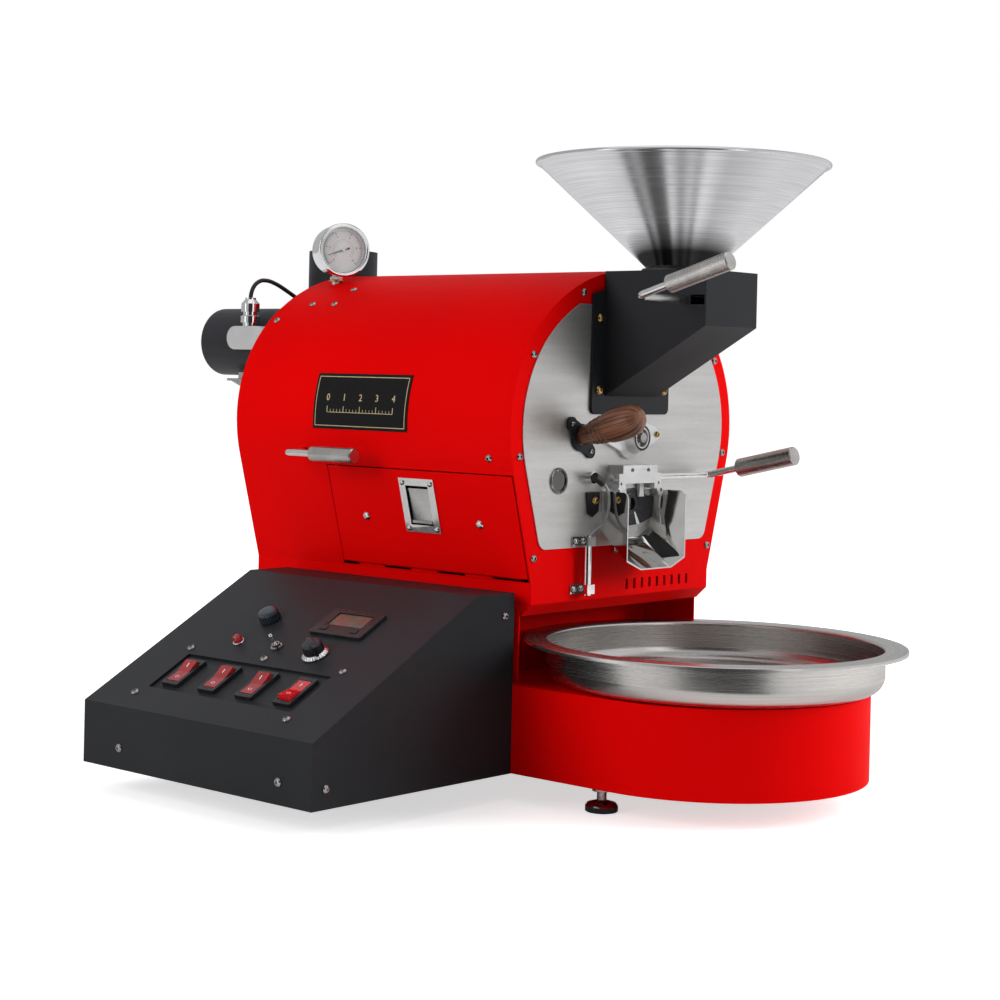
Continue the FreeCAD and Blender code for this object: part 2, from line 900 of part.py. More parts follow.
def make_hinge_block():
    y0 = -block_depth
    y1 = -face_sheet
    top_body = block(-block_half + 7, block_half - 7, y0, y1, block_low, block_high)
    ends = block(-block_half, block_half, y0, y1, block_low + 1, block_high - 9)
    ear = prism_y(
        [(-block_half, block_low + 3), (-block_half - 5, block_low - 5), (-block_half + 4, block_low - 7),
         (-block_half + 9, block_low + 3)], y0, y0 + 9)
    edge = block_half + 5
    bore = rod(V(-edge, hinge_y, hinge_z), V(edge, hinge_y, hinge_z), rod_radius + run_gap)
    room = rod_radius + 3
    slot = block(-block_half + 12, block_half - 12, hinge_y - room - 5, hinge_y + room,
                 block_low - 20, hinge_z + room - 1)
    holes = []
    for side in (-1, 1):
        hole_x = side * 14.5
        holes.append(rod(V(hole_x, y0 - 1, block_high - 6), V(hole_x, y0 + 8, block_high - 6), 2.8))
        end_x = side * (block_half - 4)
        holes.append(rod(V(end_x, y0 - 1, block_high - 20), V(end_x, y0 + 4, block_high - 20), 1.6))
        ear_x = side * (block_half + 0.5)
        holes.append(rod(V(ear_x, y0 - 1, block_low - 2), V(ear_x, y0 + 12, block_low - 2), 2.0))
    cover = block(-block_half + 12, block_half - 12, y0, y0 + 2, hinge_z - 6, hinge_z + room)
    return join(join(top_body, ends, ear, mirror_x(ear)).cut(slot).cut(bore).cut(group(holes)), cover)


door_back_face = -face_sheet - 0.5
door_front_face = door_back_face - door_sheet


def make_door():
    """A plate with a curved foot, hung from the lever's shaft by two straps, with a round port."""
    top = block_low - 1.5
    centre_z = drum_z
    plate = block(-door_half, door_half, door_front_face, door_back_face, centre_z - door_arc - 5, top)
    foot = rod(V(0, door_front_face - 1, centre_z), V(0, door_back_face + 1, centre_z), door_arc)
    ear_room = block(-door_half - 9, -block_half + 13, door_front_face - 9, door_back_face + 9,
                     block_low - 9, top + 9)
    plate = plate.common(foot).cut(ear_room).cut(mirror_x(ear_room))
    straps = []
    for x in (-20, 12):
        straps.append(block(x, x + 8, hinge_y + 1.8, door_front_face + 1, top - 8, hinge_z))
        straps.append(rod(V(x, hinge_y, hinge_z), V(x + 8, hinge_y, hinge_z), rod_radius + 1.6))
    port = rod(V(0, door_front_face - 5, port_z), V(0, door_back_face + 1, port_z), port_radius)
    shaft = rod(V(-block_half, hinge_y, hinge_z), V(block_half, hinge_y, hinge_z), rod_radius + run_gap)
    door = join(plate, *straps).cut(port).cut(shaft)
    bore = port_radius - 4
    ring = tube(V(0, door_front_face - 1.5, port_z), V(0, door_back_face, port_z), port_radius, bore)
    glass = rod(V(0, door_front_face + 1, port_z), V(0, door_front_face + 4, port_z), bore - run_gap)
    return group([door, ring, glass])


def make_door_lever():
    elbow = V(lever_x, hinge_y, hinge_z)
    way = rising(lever_rise)
    inner_end = V(-block_half - 4, hinge_y, hinge_z)
    lever = bent_rod([inner_end, elbow, elbow + way * (lever_grip_start + 8)], rod_radius, rod_bend)
    handle = grip(elbow, way, lever_grip_start, lever_grip_length, lever_grip_radius).cut(lever)
    return group([lever, handle])


# Trier
def make_trier_handle():
    end = trier_length
    full = trier_grip
    profile = [
        (0, 2), (8.4, 2), (8.4, 7.5), (10.8, 8), (11.0, 15), (13.4, 24), (12.5, 26), (14.5, 30), (13.3, 32),
        (15.3, 36), (14.3, 38), (16.4, 42), (full, 54), (full, end - 25), (full - 0.8, end - 16),
        (full - 2.6, end - 9), (full - 5.4, end - 4.6), (full - 9.0, end - 1.8), (full - 14.0, end - 0.4),
        (0, end)]
    return turned(profile, trier_seat, trier_way, X_AXIS)


def make_trier_scoop():
    wall = 1.2
    tip = trier_seat - trier_way * trier_depth
    scoop = tube(trier_seat + trier_way * 2, tip, trier_tube, trier_tube - wall)
    plug = rod(tip, tip + trier_way * 1.5, trier_tube)
    mouth = block(-trier_tube - 1, trier_tube + 1, 28, trier_depth - 6, 0, trier_tube + 1)
    mouth.rotate(ORIGIN, X_AXIS, -trier_tilt)
    mouth.translate(trier_seat)
    return join(scoop, plug).cut(mouth)


def make_trier_flange():
    y0 = -trier_plate
    plate = rod(V(0, y0, 0), ORIGIN, 15.0)
    for sign in (-1, 1):
        ear = rod(V(sign * trier_ear, y0, 0), V(sign * trier_ear, 0, 0), 7.5)
        web = prism_y([(0, 13), (sign * trier_ear, 7), (sign * trier_ear, -7), (0, -13)], y0, 0)
        plate = plate.fuse(ear).fuse(web)
    plate = plate.removeSplitter()
    plate.rotate(ORIGIN, Y_AXIS, trier_flange_turn)
    plate.translate(V(trier_x, -face_sheet, trier_z))
    bore = rod(trier_seat + trier_way * 40, trier_seat - trier_way * 60, trier_bore)
    return plate.cut(bore).cut(screw_holes(trier_places))


def make_view_port():
    y = -face_sheet
    inner = view_radius - 3
    ring = turned([(inner, 0), (view_radius, 0), (view_radius, 1.6), (view_radius - 1, 2.4), (inner, 2.4)],
                  V(view_x, y, view_z), AHEAD, X_AXIS)
    glass = rod(V(view_x, y - 0.8, view_z), V(view_x, sheet, view_z), inner - run_gap)
    return group([ring, glass])


# Bearings, drum casing and drum
def make_bearings():
    y1 = -face_sheet
    bore = shaft_radius + run_gap
    hub = turned(
        [(bore, 0), (24.5, 0), (24.5, bearing_foot), (bearing_radius + 3, 9),
         (bearing_radius, bearing_reach - 2),
         (bearing_radius - 1.5, bearing_reach), (bore, bearing_reach)],
        V(0, y1, drum_z), AHEAD, X_AXIS)
    ears = prism_y(
        [(0, drum_z + 24), (bearing_half - 6, drum_z + 11), (bearing_half, drum_z + 6),
         (bearing_half, drum_z - 2),
         (bearing_half - 6, drum_z - 6), (0, drum_z - 22)], y1 - bearing_foot, y1)
    ears = join(ears, mirror_x(ears)).cut(rod(V(0, y1 - 10, drum_z), V(0, y1 + 1, drum_z), bore))
    front = join(hub, ears).cut(screw_holes(bearing_places))
    y2 = body_length - sheet
    rear_hub = tube(V(0, y2 - 18, drum_z), V(0, y2 - 2, drum_z), 24, bore)
    rear_back = rod(V(0, y2 - 2, drum_z), V(0, y2, drum_z), 24)
    rear_foot = block(-42, 42, y2 - 6, y2, drum_z - 10, drum_z + 10)
    rear_foot = rear_foot.cut(rod(V(0, y2 - 9, drum_z), V(0, y2 - 2, drum_z), bore))
    return group([front, join(rear_hub, rear_back, rear_foot)])


jacket_radius = drum_radius + jacket_gap


def make_casing():
    """The front casting, the jacket round the drum, open over the burner, and the rear bulkhead."""
    back = sheet + casting_thick
    casting = rod(V(0, sheet, drum_z), V(0, back, drum_z), jacket_radius + thin_sheet)
    casting = casting.cut(front_passages(0, 40))
    jacket = tube(V(0, back, drum_z), V(0, bulkhead_y, drum_z), jacket_radius + thin_sheet, jacket_radius)
    opening = block(-200, 200, back + 10, bulkhead_y - 10, 0, drum_z - 0.75 * jacket_radius)
    wall = body_solid(thin_sheet + air_gap, bulkhead_y, bulkhead_y + 3, body_bottom + sheet + air_gap)
    holes = []
    for x, z, radius in ((0, drum_z, shaft_radius + 1), (duct_x, flow_z, duct_radius - thin_sheet),
                         (pivot_x, pivot_z, knuckle_radius + hinge_room)):
        holes.append(rod(V(x, bulkhead_y - 5, z), V(x, bulkhead_y + 9, z), radius))
    return join(casting, jacket.cut(opening), wall.cut(group(holes)))


def make_drum():
    y0 = drum_front
    y1 = drum_front + drum_length
    inside = drum_radius - drum_wall
    shell = tube(V(0, y0, drum_z), V(0, y1, drum_z), drum_radius, inside)
    rear = rod(V(0, y1 - drum_wall, drum_z), V(0, y1, drum_z), drum_radius)
    holes = [rod(V(0, y1 - 9, drum_z), V(0, y1 + 9, drum_z), shaft_radius)]
    for step in range(8):
        angle = 2 * math.pi * (step + 0.5) / 8
        x = 62 * math.cos(angle)
        z = drum_z + 62 * math.sin(angle)
        holes.append(rod(V(x, y1 - 9, z), V(x, y1 + 9, z), 16))
    vanes = []
    for step in range(vane_count):
        vane = block(inside - vane_height, inside + 1, y0 + 96, y1, drum_z - 1.5, drum_z + 1.5)
        vane.rotate(V(0, 0, drum_z), Y_AXIS, 360.0 * step / vane_count)
        vanes.append(vane)
    return join(shell, rear.cut(group(holes)), *vanes)


def make_drum_shaft():
    front = -face_sheet - bearing_reach + 3
    parts = [
        rod(V(0, front, drum_z), V(0, body_length - sheet - 3, drum_z), shaft_radius),
        rod(V(0, front - 5, drum_z), V(0, front, drum_z), 5.5),
    ]
    spider_y = drum_front + 108
    parts.append(rod(V(0, spider_y, drum_z), V(0, spider_y + 14, drum_z), shaft_radius + 9))
    for step in range(3):
        spoke = block(shaft_radius, drum_radius - drum_wall - air_gap, spider_y + 3, spider_y + 9,
                      drum_z - 5, drum_z + 5)
        spoke.rotate(V(0, 0, drum_z), Y_AXIS, 30 + 120.0 * step)
        parts.append(spoke)
    return join(*parts, pulley(0, drum_z, drum_pulley))


# Belt drive
def pulley(x, z, radius):
    """A flanged flat pulley, with a hub on its back."""
    half = belt_wide / 2 + 0.5
    flange = 1.5
    rim = radius + belt_thick
    profile = [
        (0, -half - flange), (rim, -half - flange), (rim, -half), (radius, -half), (radius, half),
        (rim, half), (rim, half + flange), (motor_shaft_radius + 8, half + flange),
        (motor_shaft_radius + 8, half + flange + 6), (0, half + flange + 6)]
    return turned(profile, V(x, belt_y, z), Y_AXIS, X_AXIS)


def belt_loop(grow, y):
    """The loop that the belt lies in: an arc round each pulley, and the two lines that touch both."""
    big = V(0, y, drum_z)
    small = V(motor_x, y, motor_z)
    way = small - big
    base = math.atan2(way.z, way.x)
    spread = math.acos((drum_pulley - motor_pulley) / way.Length)

    def at(centre, radius, angle):
        return centre + V(radius * math.cos(angle), 0, radius * math.sin(angle))
    big_radius = drum_pulley + grow
    small_radius = motor_pulley + grow
    big_first = at(big, big_radius, base + spread)
    big_last = at(big, big_radius, base - spread)
    small_first = at(small, small_radius, base + spread)
    small_last = at(small, small_radius, base - spread)
    edges = [
        Part.Arc(big_first, at(big, big_radius, base + math.pi), big_last).toShape(),
        *straight([big_last, small_last]),
        Part.Arc(small_last, at(small, small_radius, base), small_first).toShape(),
        *straight([small_first, big_first]),
    ]
    return Part.Face(Part.Wire(edges))


def make_belt():
    y0 = belt_y - belt_wide / 2
    outer = belt_loop(air_gap + belt_thick, y0).extrude(V(0, belt_wide, 0))
    inner = belt_loop(air_gap, y0).extrude(V(0, belt_wide, 0))
    return outer.cut(inner)


def make_motor_pulley():
    shaft = rod(V(motor_x, belt_y, motor_z), V(motor_x, body_length + 14, motor_z), motor_shaft_radius)
    return join(pulley(motor_x, motor_z, motor_pulley), shaft)


# Drum motor
def make_drum_motor():
    y0 = body_length
    body = turned(
        [(0, y0), (motor_radius + 3, y0), (motor_radius + 3, y0 + 5), (motor_radius, y0 + 5),
         (motor_radius, motor_end - 5), (motor_radius - 5, motor_end), (0, motor_end)],
        V(motor_x, 0, motor_z), Y_AXIS, X_AXIS)
    seat = rod(V(motor_x, y0 - 1, motor_z), V(motor_x, y0 + 15, motor_z), motor_shaft_radius + run_gap)
    return body.cut(seat)


def make_motor_bracket():
    y0 = body_length
    z = motor_z - motor_radius
    half = 32.0
    shelf = block(motor_x - half, motor_x + half, y0, y0 + 95, z - 7, z - 4)
    wall = block(motor_x - half, motor_x + half, y0, y0 + 3, z - 44, z - 4)
    rib = prism_x([(y0, z - 40), (y0 + 90, z - 6), (y0, z - 6)], motor_x - half, motor_x - half + 3)
    saddle = block(motor_x - 18, motor_x + 18, y0 + 70, y0 + 90, z - 5, z + 6)
    cradle = rod(V(motor_x, y0 - 5, motor_z), V(motor_x, y0 + 200, motor_z), motor_radius + run_gap)
    return join(shelf, wall, rib, saddle.cut(cradle))


terminal_wall = motor_x - motor_radius
gland_x = terminal_wall - 7
gland_low = terminal_z + terminal_round
gland_high = gland_low + 34


def make_terminal_box():
    r = terminal_round
    x0 = terminal_wall - 14
    x1 = terminal_wall + 6
    straight_half = terminal_half - r
    core = block(x0, x1, terminal_y - straight_half, terminal_y + straight_half,
                 terminal_z - r, terminal_z + r)
    ends = []
    for sign in (-1, 1):
        y = terminal_y + sign * straight_half
        ends.append(rod(V(x0, y, terminal_z), V(x1, y, terminal_z), r))
    motor_seat = rod(V(motor_x, 400, motor_z), V(motor_x, 600, motor_z), motor_radius + run_gap)
    box = join(core, *ends).cut(motor_seat)
    box = box.cut(block(x0 - 1, x1 + 1, body_length, body_length + 5 + air_gap, 400, 500))
    bore = motor_lead_radius + 0.1
    gland = turned(
        [(bore, 0), (9, 0), (9, 4), (11.5, 4), (11.5, 12), (8.5, 13), (8.5, 17), (11, 17), (11, 27),
         (6.5, 32), (6.5, 34), (bore, 34)], V(gland_x, terminal_y, gland_low))
    return group([box, gland])


# The motor's lead: up out of the gland, over, and down into the back of the body
grommet_x = -44.0
grommet_z = 486.0
motor_lead_route = [
    V(gland_x, terminal_y, gland_high - 7),
    V(gland_x, terminal_y, gland_high + 5),
    V(gland_x + 6, terminal_y + 0.5, gland_high + 16),
    V(gland_x + 17, terminal_y + 1, gland_high + 22),
    V(gland_x + 31, terminal_y + 2, gland_high + 22),
    V(gland_x + 47, terminal_y + 2.5, gland_high + 17.5),
    V(gland_x + 63, terminal_y + 2, gland_high + 10),
    V(gland_x + 80, terminal_y - 2, gland_high),
    V(gland_x + 94, terminal_y - 9, gland_high - 10),
    V(grommet_x, terminal_y - 22, grommet_z),
    V(grommet_x, body_length, grommet_z),
]


def make_grommet():
    bore = motor_lead_radius + 0.1
    return turned([(bore, 0), (7, 0), (7, 3), (5, 8), (bore, 8)],
                  V(grommet_x, body_length, grommet_z), Y_AXIS, X_AXIS)


# Exhaust blower and stack
def make_blower():
    """A round housing with an upright outlet at one side, and its motor behind."""
    y0 = body_length
    y1 = stack_y + stack_radius
    right = stack_x + stack_radius
    left = stack_x - stack_radius
    drum = rod(V(scroll_x, y0, scroll_z), V(scroll_x, y1, scroll_z), scroll_radius)
    step = 12.0
    outlet = block(left, right, y0, y1, scroll_z + step, stack_low)
    hollow = rod(V(scroll_x, y0 + sheet, scroll_z), V(scroll_x, y1 - sheet, scroll_z), scroll_radius - sheet)
    throat = block(left + sheet, right - sheet, y0 + sheet, y1 - sheet,
                   scroll_z + step + sheet, stack_low - sheet)
    inlet = rod(V(scroll_x, y0 - 5, scroll_z), V(scroll_x, y0 + 10, scroll_z), inlet_radius)
    axle = rod(V(scroll_x, y1 - 10, scroll_z), V(scroll_x, y1 + 5, scroll_z), 6)
    bore = stack_radius - 2 * sheet
    mouth = rod(V(stack_x, stack_y, stack_low - 15), V(stack_x, stack_y, stack_low + 15), bore)
    housing = join(drum, outlet).cut(join(hollow, throat)).cut(inlet).cut(axle).cut(mouth)
    motor = turned(
        [(0, y1), (blower_radius, y1), (blower_radius, blower_end - 4), (blower_radius - 4, blower_end),
         (0, blower_end)], V(scroll_x, 0, scroll_z), Y_AXIS, X_AXIS)
    seat = rod(V(scroll_x, y1 - 5, scroll_z), V(scroll_x, y1 + 7, scroll_z), 4 + run_gap)
    return group([housing, motor.cut(seat)])


def make_stack():
    bore = stack_radius - sheet
    return tube(V(stack_x, stack_y, stack_low), V(stack_x, stack_y, stack_top), stack_radius, bore)


def make_fan_wheel():
    y0 = body_length + sheet + 10
    y1 = stack_y + stack_radius - sheet - 8
    back = rod(V(scroll_x, y1 - 2, scroll_z), V(scroll_x, y1, scroll_z), wheel_radius)
    rim = tube(V(scroll_x, y0, scroll_z), V(scroll_x, y0 + 4, scroll_z), wheel_radius, wheel_radius - 10)
    axle = rod(V(scroll_x, y1 - 14, scroll_z), V(scroll_x, y1 + 13, scroll_z), 4)
    blades = []
    middle = scroll_x + wheel_radius - 7
    for step in range(blade_count):
        blade = block(middle - 6, middle + 6, y0, y1, scroll_z - 1, scroll_z + 1)
        blade.rotate(V(middle, 0, scroll_z), Y_AXIS, 35)
        blade.rotate(V(scroll_x, 0, scroll_z), Y_AXIS, 360.0 * step / blade_count)
        blades.append(blade)
    return join(back, rim, axle, *blades)


# Gas burner and pipe
def make_burner():
    wall = 4.0
    tray = block(-burner_half, burner_half, burner_front, burner_back, burner_low, burner_high)
    hollow = block(-burner_half + wall, burner_half - wall, burner_front + wall, burner_back - wall,
                   burner_low + 3, burner_high + 1)
    tile = block(-burner_half + wall, burner_half - wall, burner_front + wall, burner_back - wall,
                 burner_high - 12, burner_high - 2)
    legs = []
    for x in (-burner_half, burner_half - 8):
        for y in (burner_front, burner_back - 8):
            legs.append(block(x, x + 8, y, y + 8, body_bottom + sheet, burner_low))
    return group([join(tray.cut(hollow), *legs), tile])


def make_gas_pipe():
    outer = gas_bore + 3.5 - run_gap
    mouth = base_back + 12
    inner_end = base_back - 24
    fitting = tube(V(gas_x, mouth - gas_socket, gas_z), V(gas_x, mouth, gas_z), outer, gas_bore)
    stop = rod(V(gas_x, inner_end, gas_z), V(gas_x, mouth - gas_socket, gas_z), outer)
    y = (burner_front + burner_back) / 2
    route = [V(gas_x, inner_end + 1, gas_z), V(gas_x, y, gas_z), V(40, y, gas_z), V(40, y, burner_low)]
    pipe = bent_rod(route, gas_pipe_radius, gas_pipe_bend)
    return join(fitting, stop, pipe)


# Access door, its hinge and its latch
pivot_x = -(half_width(panel_low) - pivot_depth)
pivot_z = panel_low + pivot_depth
hinge_front = door_front_y + 14
knuckle_radius = 3.2
hinge_room = 4.0
pin_radius = 1.5


def knuckle_spans(moving):
    spans = []
    y = hinge_front
    turn = True
    while y + knuckle_long <= door_back_y - 10:
        if turn == moving:
            spans.append((y + air_gap, y + knuckle_long - air_gap))
        y += knuckle_long
        turn = not turn
    return spans


def make_access_door():
    slab = side_slab(panel_low + low_seam, panel_high - seam, door_front_y + seam, door_back_y - seam,
                     -thin_sheet, 0)
    window = side_slab(latch_low + 6, latch_high - 6, latch_front + 6, latch_back - 6, -30, 5)
    parts = []
    bore = rod(V(pivot_x, 0, pivot_z), V(pivot_x, 400, pivot_z), pin_radius + run_gap)
    for y0, y1 in knuckle_spans(True):
        parts.append(rod(V(pivot_x, y0, pivot_z), V(pivot_x, y1, pivot_z), knuckle_radius))
        parts.append(side_slab(panel_low + 5, panel_low + 13, y0, y1, -3.2, -thin_sheet + 0.2))
    return join(slab.cut(window), *parts).cut(bore).cut(screw_holes(door_places + latch_places))


def make_fixed_hinge():
    """The hinge's fixed leaf on the inside of the skin, its knuckles and its pin."""
    spans = knuckle_spans(False)
    leaf = side_slab(waist_z - 10, waist_z, hinge_front, spans[-1][1], -3, -thin_sheet)
    parts = [leaf]
    for y0, y1 in spans:
        parts.append(rod(V(pivot_x, y0, pivot_z), V(pivot_x, y1, pivot_z), knuckle_radius))
        parts.append(block(pivot_x + 0.5, pivot_x + 2.5, y0, y1, pivot_z - 8, pivot_z - 1))
        parts.append(block(pivot_x - 1.5, pivot_x + 2.5, y0, y1, pivot_z - 8, pivot_z - 5.6))
    pin = rod(V(pivot_x, hinge_front, pivot_z), V(pivot_x, spans[-1][1], pivot_z), pin_radius)
    return join(*parts, pin)


def make_latch_plate():
    """The latch's frame on the door's skin, the shallow tub behind it, and the screws that hold it."""
    frame = side_slab(latch_low, latch_high, latch_front, latch_back, 0, 1.5)
    hole = side_slab(latch_low + 8, latch_high - 8, latch_front + 9, latch_back - 9, -30, 5)
    tub = side_slab(latch_low + 7, latch_high - 7, latch_front + 8, latch_back - 8, -10, 0)
    hollow = side_slab(latch_low + 8, latch_high - 8, latch_front + 9, latch_back - 9, -9, 5)
    plate = join(frame.cut(hole), tub.cut(hollow)).cut(screw_holes(latch_places))
    return group([plate, *screws(door_places + latch_places)])


paddle_pin_z = latch_high - 12.5
paddle_pin_x = -(half_width(paddle_pin_z) - 2.5)


def make_latch_paddle():
    y0 = latch_front + 11
    y1 = latch_back - 11
    paddle = side_slab(latch_low + 13, latch_high - 11, y0, y1, -3.5, -0.8)
    lip = side_slab(latch_low + 10, latch_low + 13, y0, y1, -3.5, 1.0)
    pin = rod(V(paddle_pin_x, y0 - 1.7, paddle_pin_z), V(paddle_pin_x, y1 + 1.7, paddle_pin_z), 1.4)
    return join(paddle, lip, pin)


# Airflow lever, valve and plate
def make_airflow_lever():
    elbow = V(flow_elbow_x, flow_y, flow_z)
    inner_end = V(valve_right - air_gap, flow_y, flow_z)
    lever = bent_rod([inner_end, elbow, elbow + AHEAD * (flow_grip_start + 8)], rod_radius, rod_bend)
    handle = grip(elbow, AHEAD, flow_grip_start, flow_grip_length, flow_grip_radius).cut(lever)
    reach = valve_half - 3
    blade = block(valve_left + 6, valve_right - 6, flow_y - 1.2, flow_y + 1.2, flow_z - reach, flow_z + reach)
    return group([join(lever, blade), handle])


def make_airflow_valve():
    h = valve_half
    out = h + sheet
    outer = block(valve_left, valve_right, flow_y - out, flow_y + out, flow_z - out, flow_z + out)
    inner = block(valve_left + sheet, valve_right - sheet, flow_y - h, flow_y + h, flow_z - h, flow_z + h)
    front = rod(V(duct_x, bulkhead_y + 3, flow_z), V(duct_x, flow_y, flow_z), duct_radius - thin_sheet)
    rear = rod(V(duct_x - 20, flow_y, flow_z), V(duct_x - 20, flow_y + 60, flow_z), duct_radius)
    bore = rod(V(valve_left - 9, flow_y, flow_z), V(valve_right + 9, flow_y, flow_z), rod_radius + run_gap)
    duct = rod(V(duct_x, bulkhead_y + 3, flow_z), V(duct_x, flow_y - h - 1, flow_z), duct_radius)
    return join(outer.cut(inner), duct).cut(front).cut(rear).cut(bore)


def make_airflow_plate():
    """A thin strip that follows the arch on the left, between two heights."""
    inner = 0.1
    outer = 1.3

    def at(z, out):
        return flip(arch_point(-out, math.asin((z - arch_z) / (arch_side_radius + out)), plate_front))
    middle = (plate_low + plate_high) / 2
    edges = [
        Part.Arc(at(plate_low, inner), at(middle, inner), at(plate_high, inner)).toShape(),
        *straight([at(plate_high, inner), at(plate_high, outer)]),
        Part.Arc(at(plate_high, outer), at(middle, outer), at(plate_low, outer)).toShape(),
        *straight([at(plate_low, outer), at(plate_low, inner)]),
    ]
    return Part.Face(Part.Wire(edges)).extrude(V(0, plate_back - plate_front, 0))


# Gauge
def make_gauge():
    centre = V(0, 0, gauge_z)
    front = gauge_front
    back = front - gauge_depth
    r = gauge_body
    ring = gauge_ring
    case = turned(
        [(0, back), (r - 3, back), (r, back + 3), (r, front - 9), (ring, front - 8), (ring, front - 1.5),
         (ring - 1.5, front), (ring - 4.5, front - 1), (ring - 5.5, front - 6), (0, front - 6)],
        centre, AHEAD, X_AXIS)
    case = case.cut(rod(V(0, 0, gauge_z - r - 5), V(0, 0, gauge_z - r + 8), 5.0))
    dial = rod(centre + AHEAD * (front - 6), centre + AHEAD * (front - 5), ring - 6)
    hub = rod(centre + AHEAD * (front - 5 + air_gap), centre + AHEAD * (front - 2.6), 2.2)
    pointer = [(-6, 1.8), (-6, -1.8), (0, -1.2), (20, -0.35), (20, 0.35), (0, 1.2)]
    blade = prism_y([(x, gauge_z + z) for x, z in pointer], -(front - 3.3), -(front - 4.0))
    needle = join(hub, blade)
    needle.rotate(centre, AHEAD, needle_angle)
    lens = rod(centre + AHEAD * (front - 2.2), centre + AHEAD * (front - 1.2), ring - 4.8)
    seat = arch_height(gauge_x) + 3.2
    fitting = turned(
        [(0, seat - 16), (5, seat - 16), (5, seat), (9, seat), (9, seat + 4.2), (5, seat + 4.2),
         (5, gauge_z - r + 7.5),
         (0, gauge_z - r + 7.5)], ORIGIN)
    for shape in (case, dial, needle, lens, fitting):
        shape.rotate(ORIGIN, Z_AXIS, gauge_turn)
        shape.translate(V(gauge_x, gauge_y, 0))
    return group([case, dial, fitting]), needle, lens


# Bean probe, conduit and lead
connector_start = V(-74, -14, 311)
connector_end = V(-60, -14, 304)
bracket_z = 284.0


def make_bean_probe():
    y = -face_sheet
    nut = turned([(probe_radius + run_gap, 0), (6.5, 0), (6.5, 6), (probe_radius + run_gap, 6)],
                 V(probe_x, y, probe_z), AHEAD, X_AXIS)
    stem = rod(V(probe_x, -14, probe_z), V(probe_x, 70, probe_z), probe_radius)
    connector = join(rod(connector_start, connector_end, 4.6), stem)
    bracket = prism_y([(-73, 293), (-50, 293), (-52, 272), (-62, 266), (-70, 270)], y - 2, y)
    bolt = button_screw(V(-60, y - 2, bracket_z), AHEAD, 4.6, 4.0, 1.5)
    bracket = join(bracket, bolt)
    pipe = tube(V(conduit_x, conduit_y, conduit_low), V(conduit_x, conduit_y, conduit_high), conduit_radius,
                conduit_radius - 1.2)
    clips = []
    for z, back in ((conduit_high - 5.5, -face_sheet), (conduit_low + 6.7, 0.0)):
        clips.append(make_clip(z, back))
    return group([nut, connector, bracket, pipe, *clips])


def make_clip(z, back):
    """A clip round the conduit, with a tab and a screw on its left."""
    around = conduit_radius + 1.5
    strap = block(conduit_x - around, conduit_x + around, conduit_y - around, back, z - 5, z + 5)
    tab = block(conduit_x - around - 12, conduit_x, back - 1.5, back, z - 5, z + 5)
    bore = rod(V(conduit_x, conduit_y, z - 9), V(conduit_x, conduit_y, z + 9), conduit_radius)
    screw = button_screw(V(conduit_x - around - 6, back - 1.5, z), AHEAD, 3.2, 2.0, 1.0)
    return join(join(strap, tab).cut(bore), screw)


probe_lead_route = [
    V(-60, -14, 304),
    V(-55.5, -14.4, 301),
    V(-51.9, -15.4, 295.5),
    V(-50.6, -16.5, 287.5),
    V(-51, -17, 278.5),
    V(-53, -16.5, 269),
    V(-57.5, -14.7, 260.5),
    V(-64, -12.4, 255),
    V(-70.5, -10.5, 250.8),
    V(-75.8, -9.2, 246),
]


# Control housing
slope = math.atan2(ridge_z - box_low_top, ridge_x - box_left)
slope_way = V(math.cos(slope), 0, math.sin(slope))
slope_out = V(-math.sin(slope), 0, math.cos(slope))


def slope_point(back, s, lift=0.0):
    return V(box_left, box_front + back, box_low_top) + slope_way * s + slope_out * lift


def on_slope(shape, back, s, lift=0.0):
    """Moves a shape from the origin, with x up the slope and z out of it, to its place on the slope."""
    shape.rotate(ORIGIN, Y_AXIS, -math.degrees(slope))
    shape.translate(slope_point(back, s, lift))
    return shape


panel_places = []
for panel_back, panel_s in ((289.8, 25.4), (288.5, 110.0), (174.9, 111.0), (58.9, 110.4), (60.7, 26.4)):
    panel_places.append((slope_point(panel_back, panel_s), slope_out, 4.5, 2.6, 2.8))
box_places = [
    (V(box_left, 300.0, 22.0), V(-1, 0, 0), 4.5, 2.6, 4.0),
    (V(box_left, 60.0, 22.0), V(-1, 0, 0), 4.5, 2.6, 4.0),
    (V(-184.0, box_front, 166.0), AHEAD, 4.2, 2.6, 4.0),
    (V(-440.0, box_front, 20.0), AHEAD, 4.2, 2.6, 4.0),
]
meter_middle = (sum(meter_backs) / 2, sum(meter_s) / 2)
meter_half_back = (meter_backs[1] - meter_backs[0]) / 2
meter_half_s = (meter_s[1] - meter_s[0]) / 2


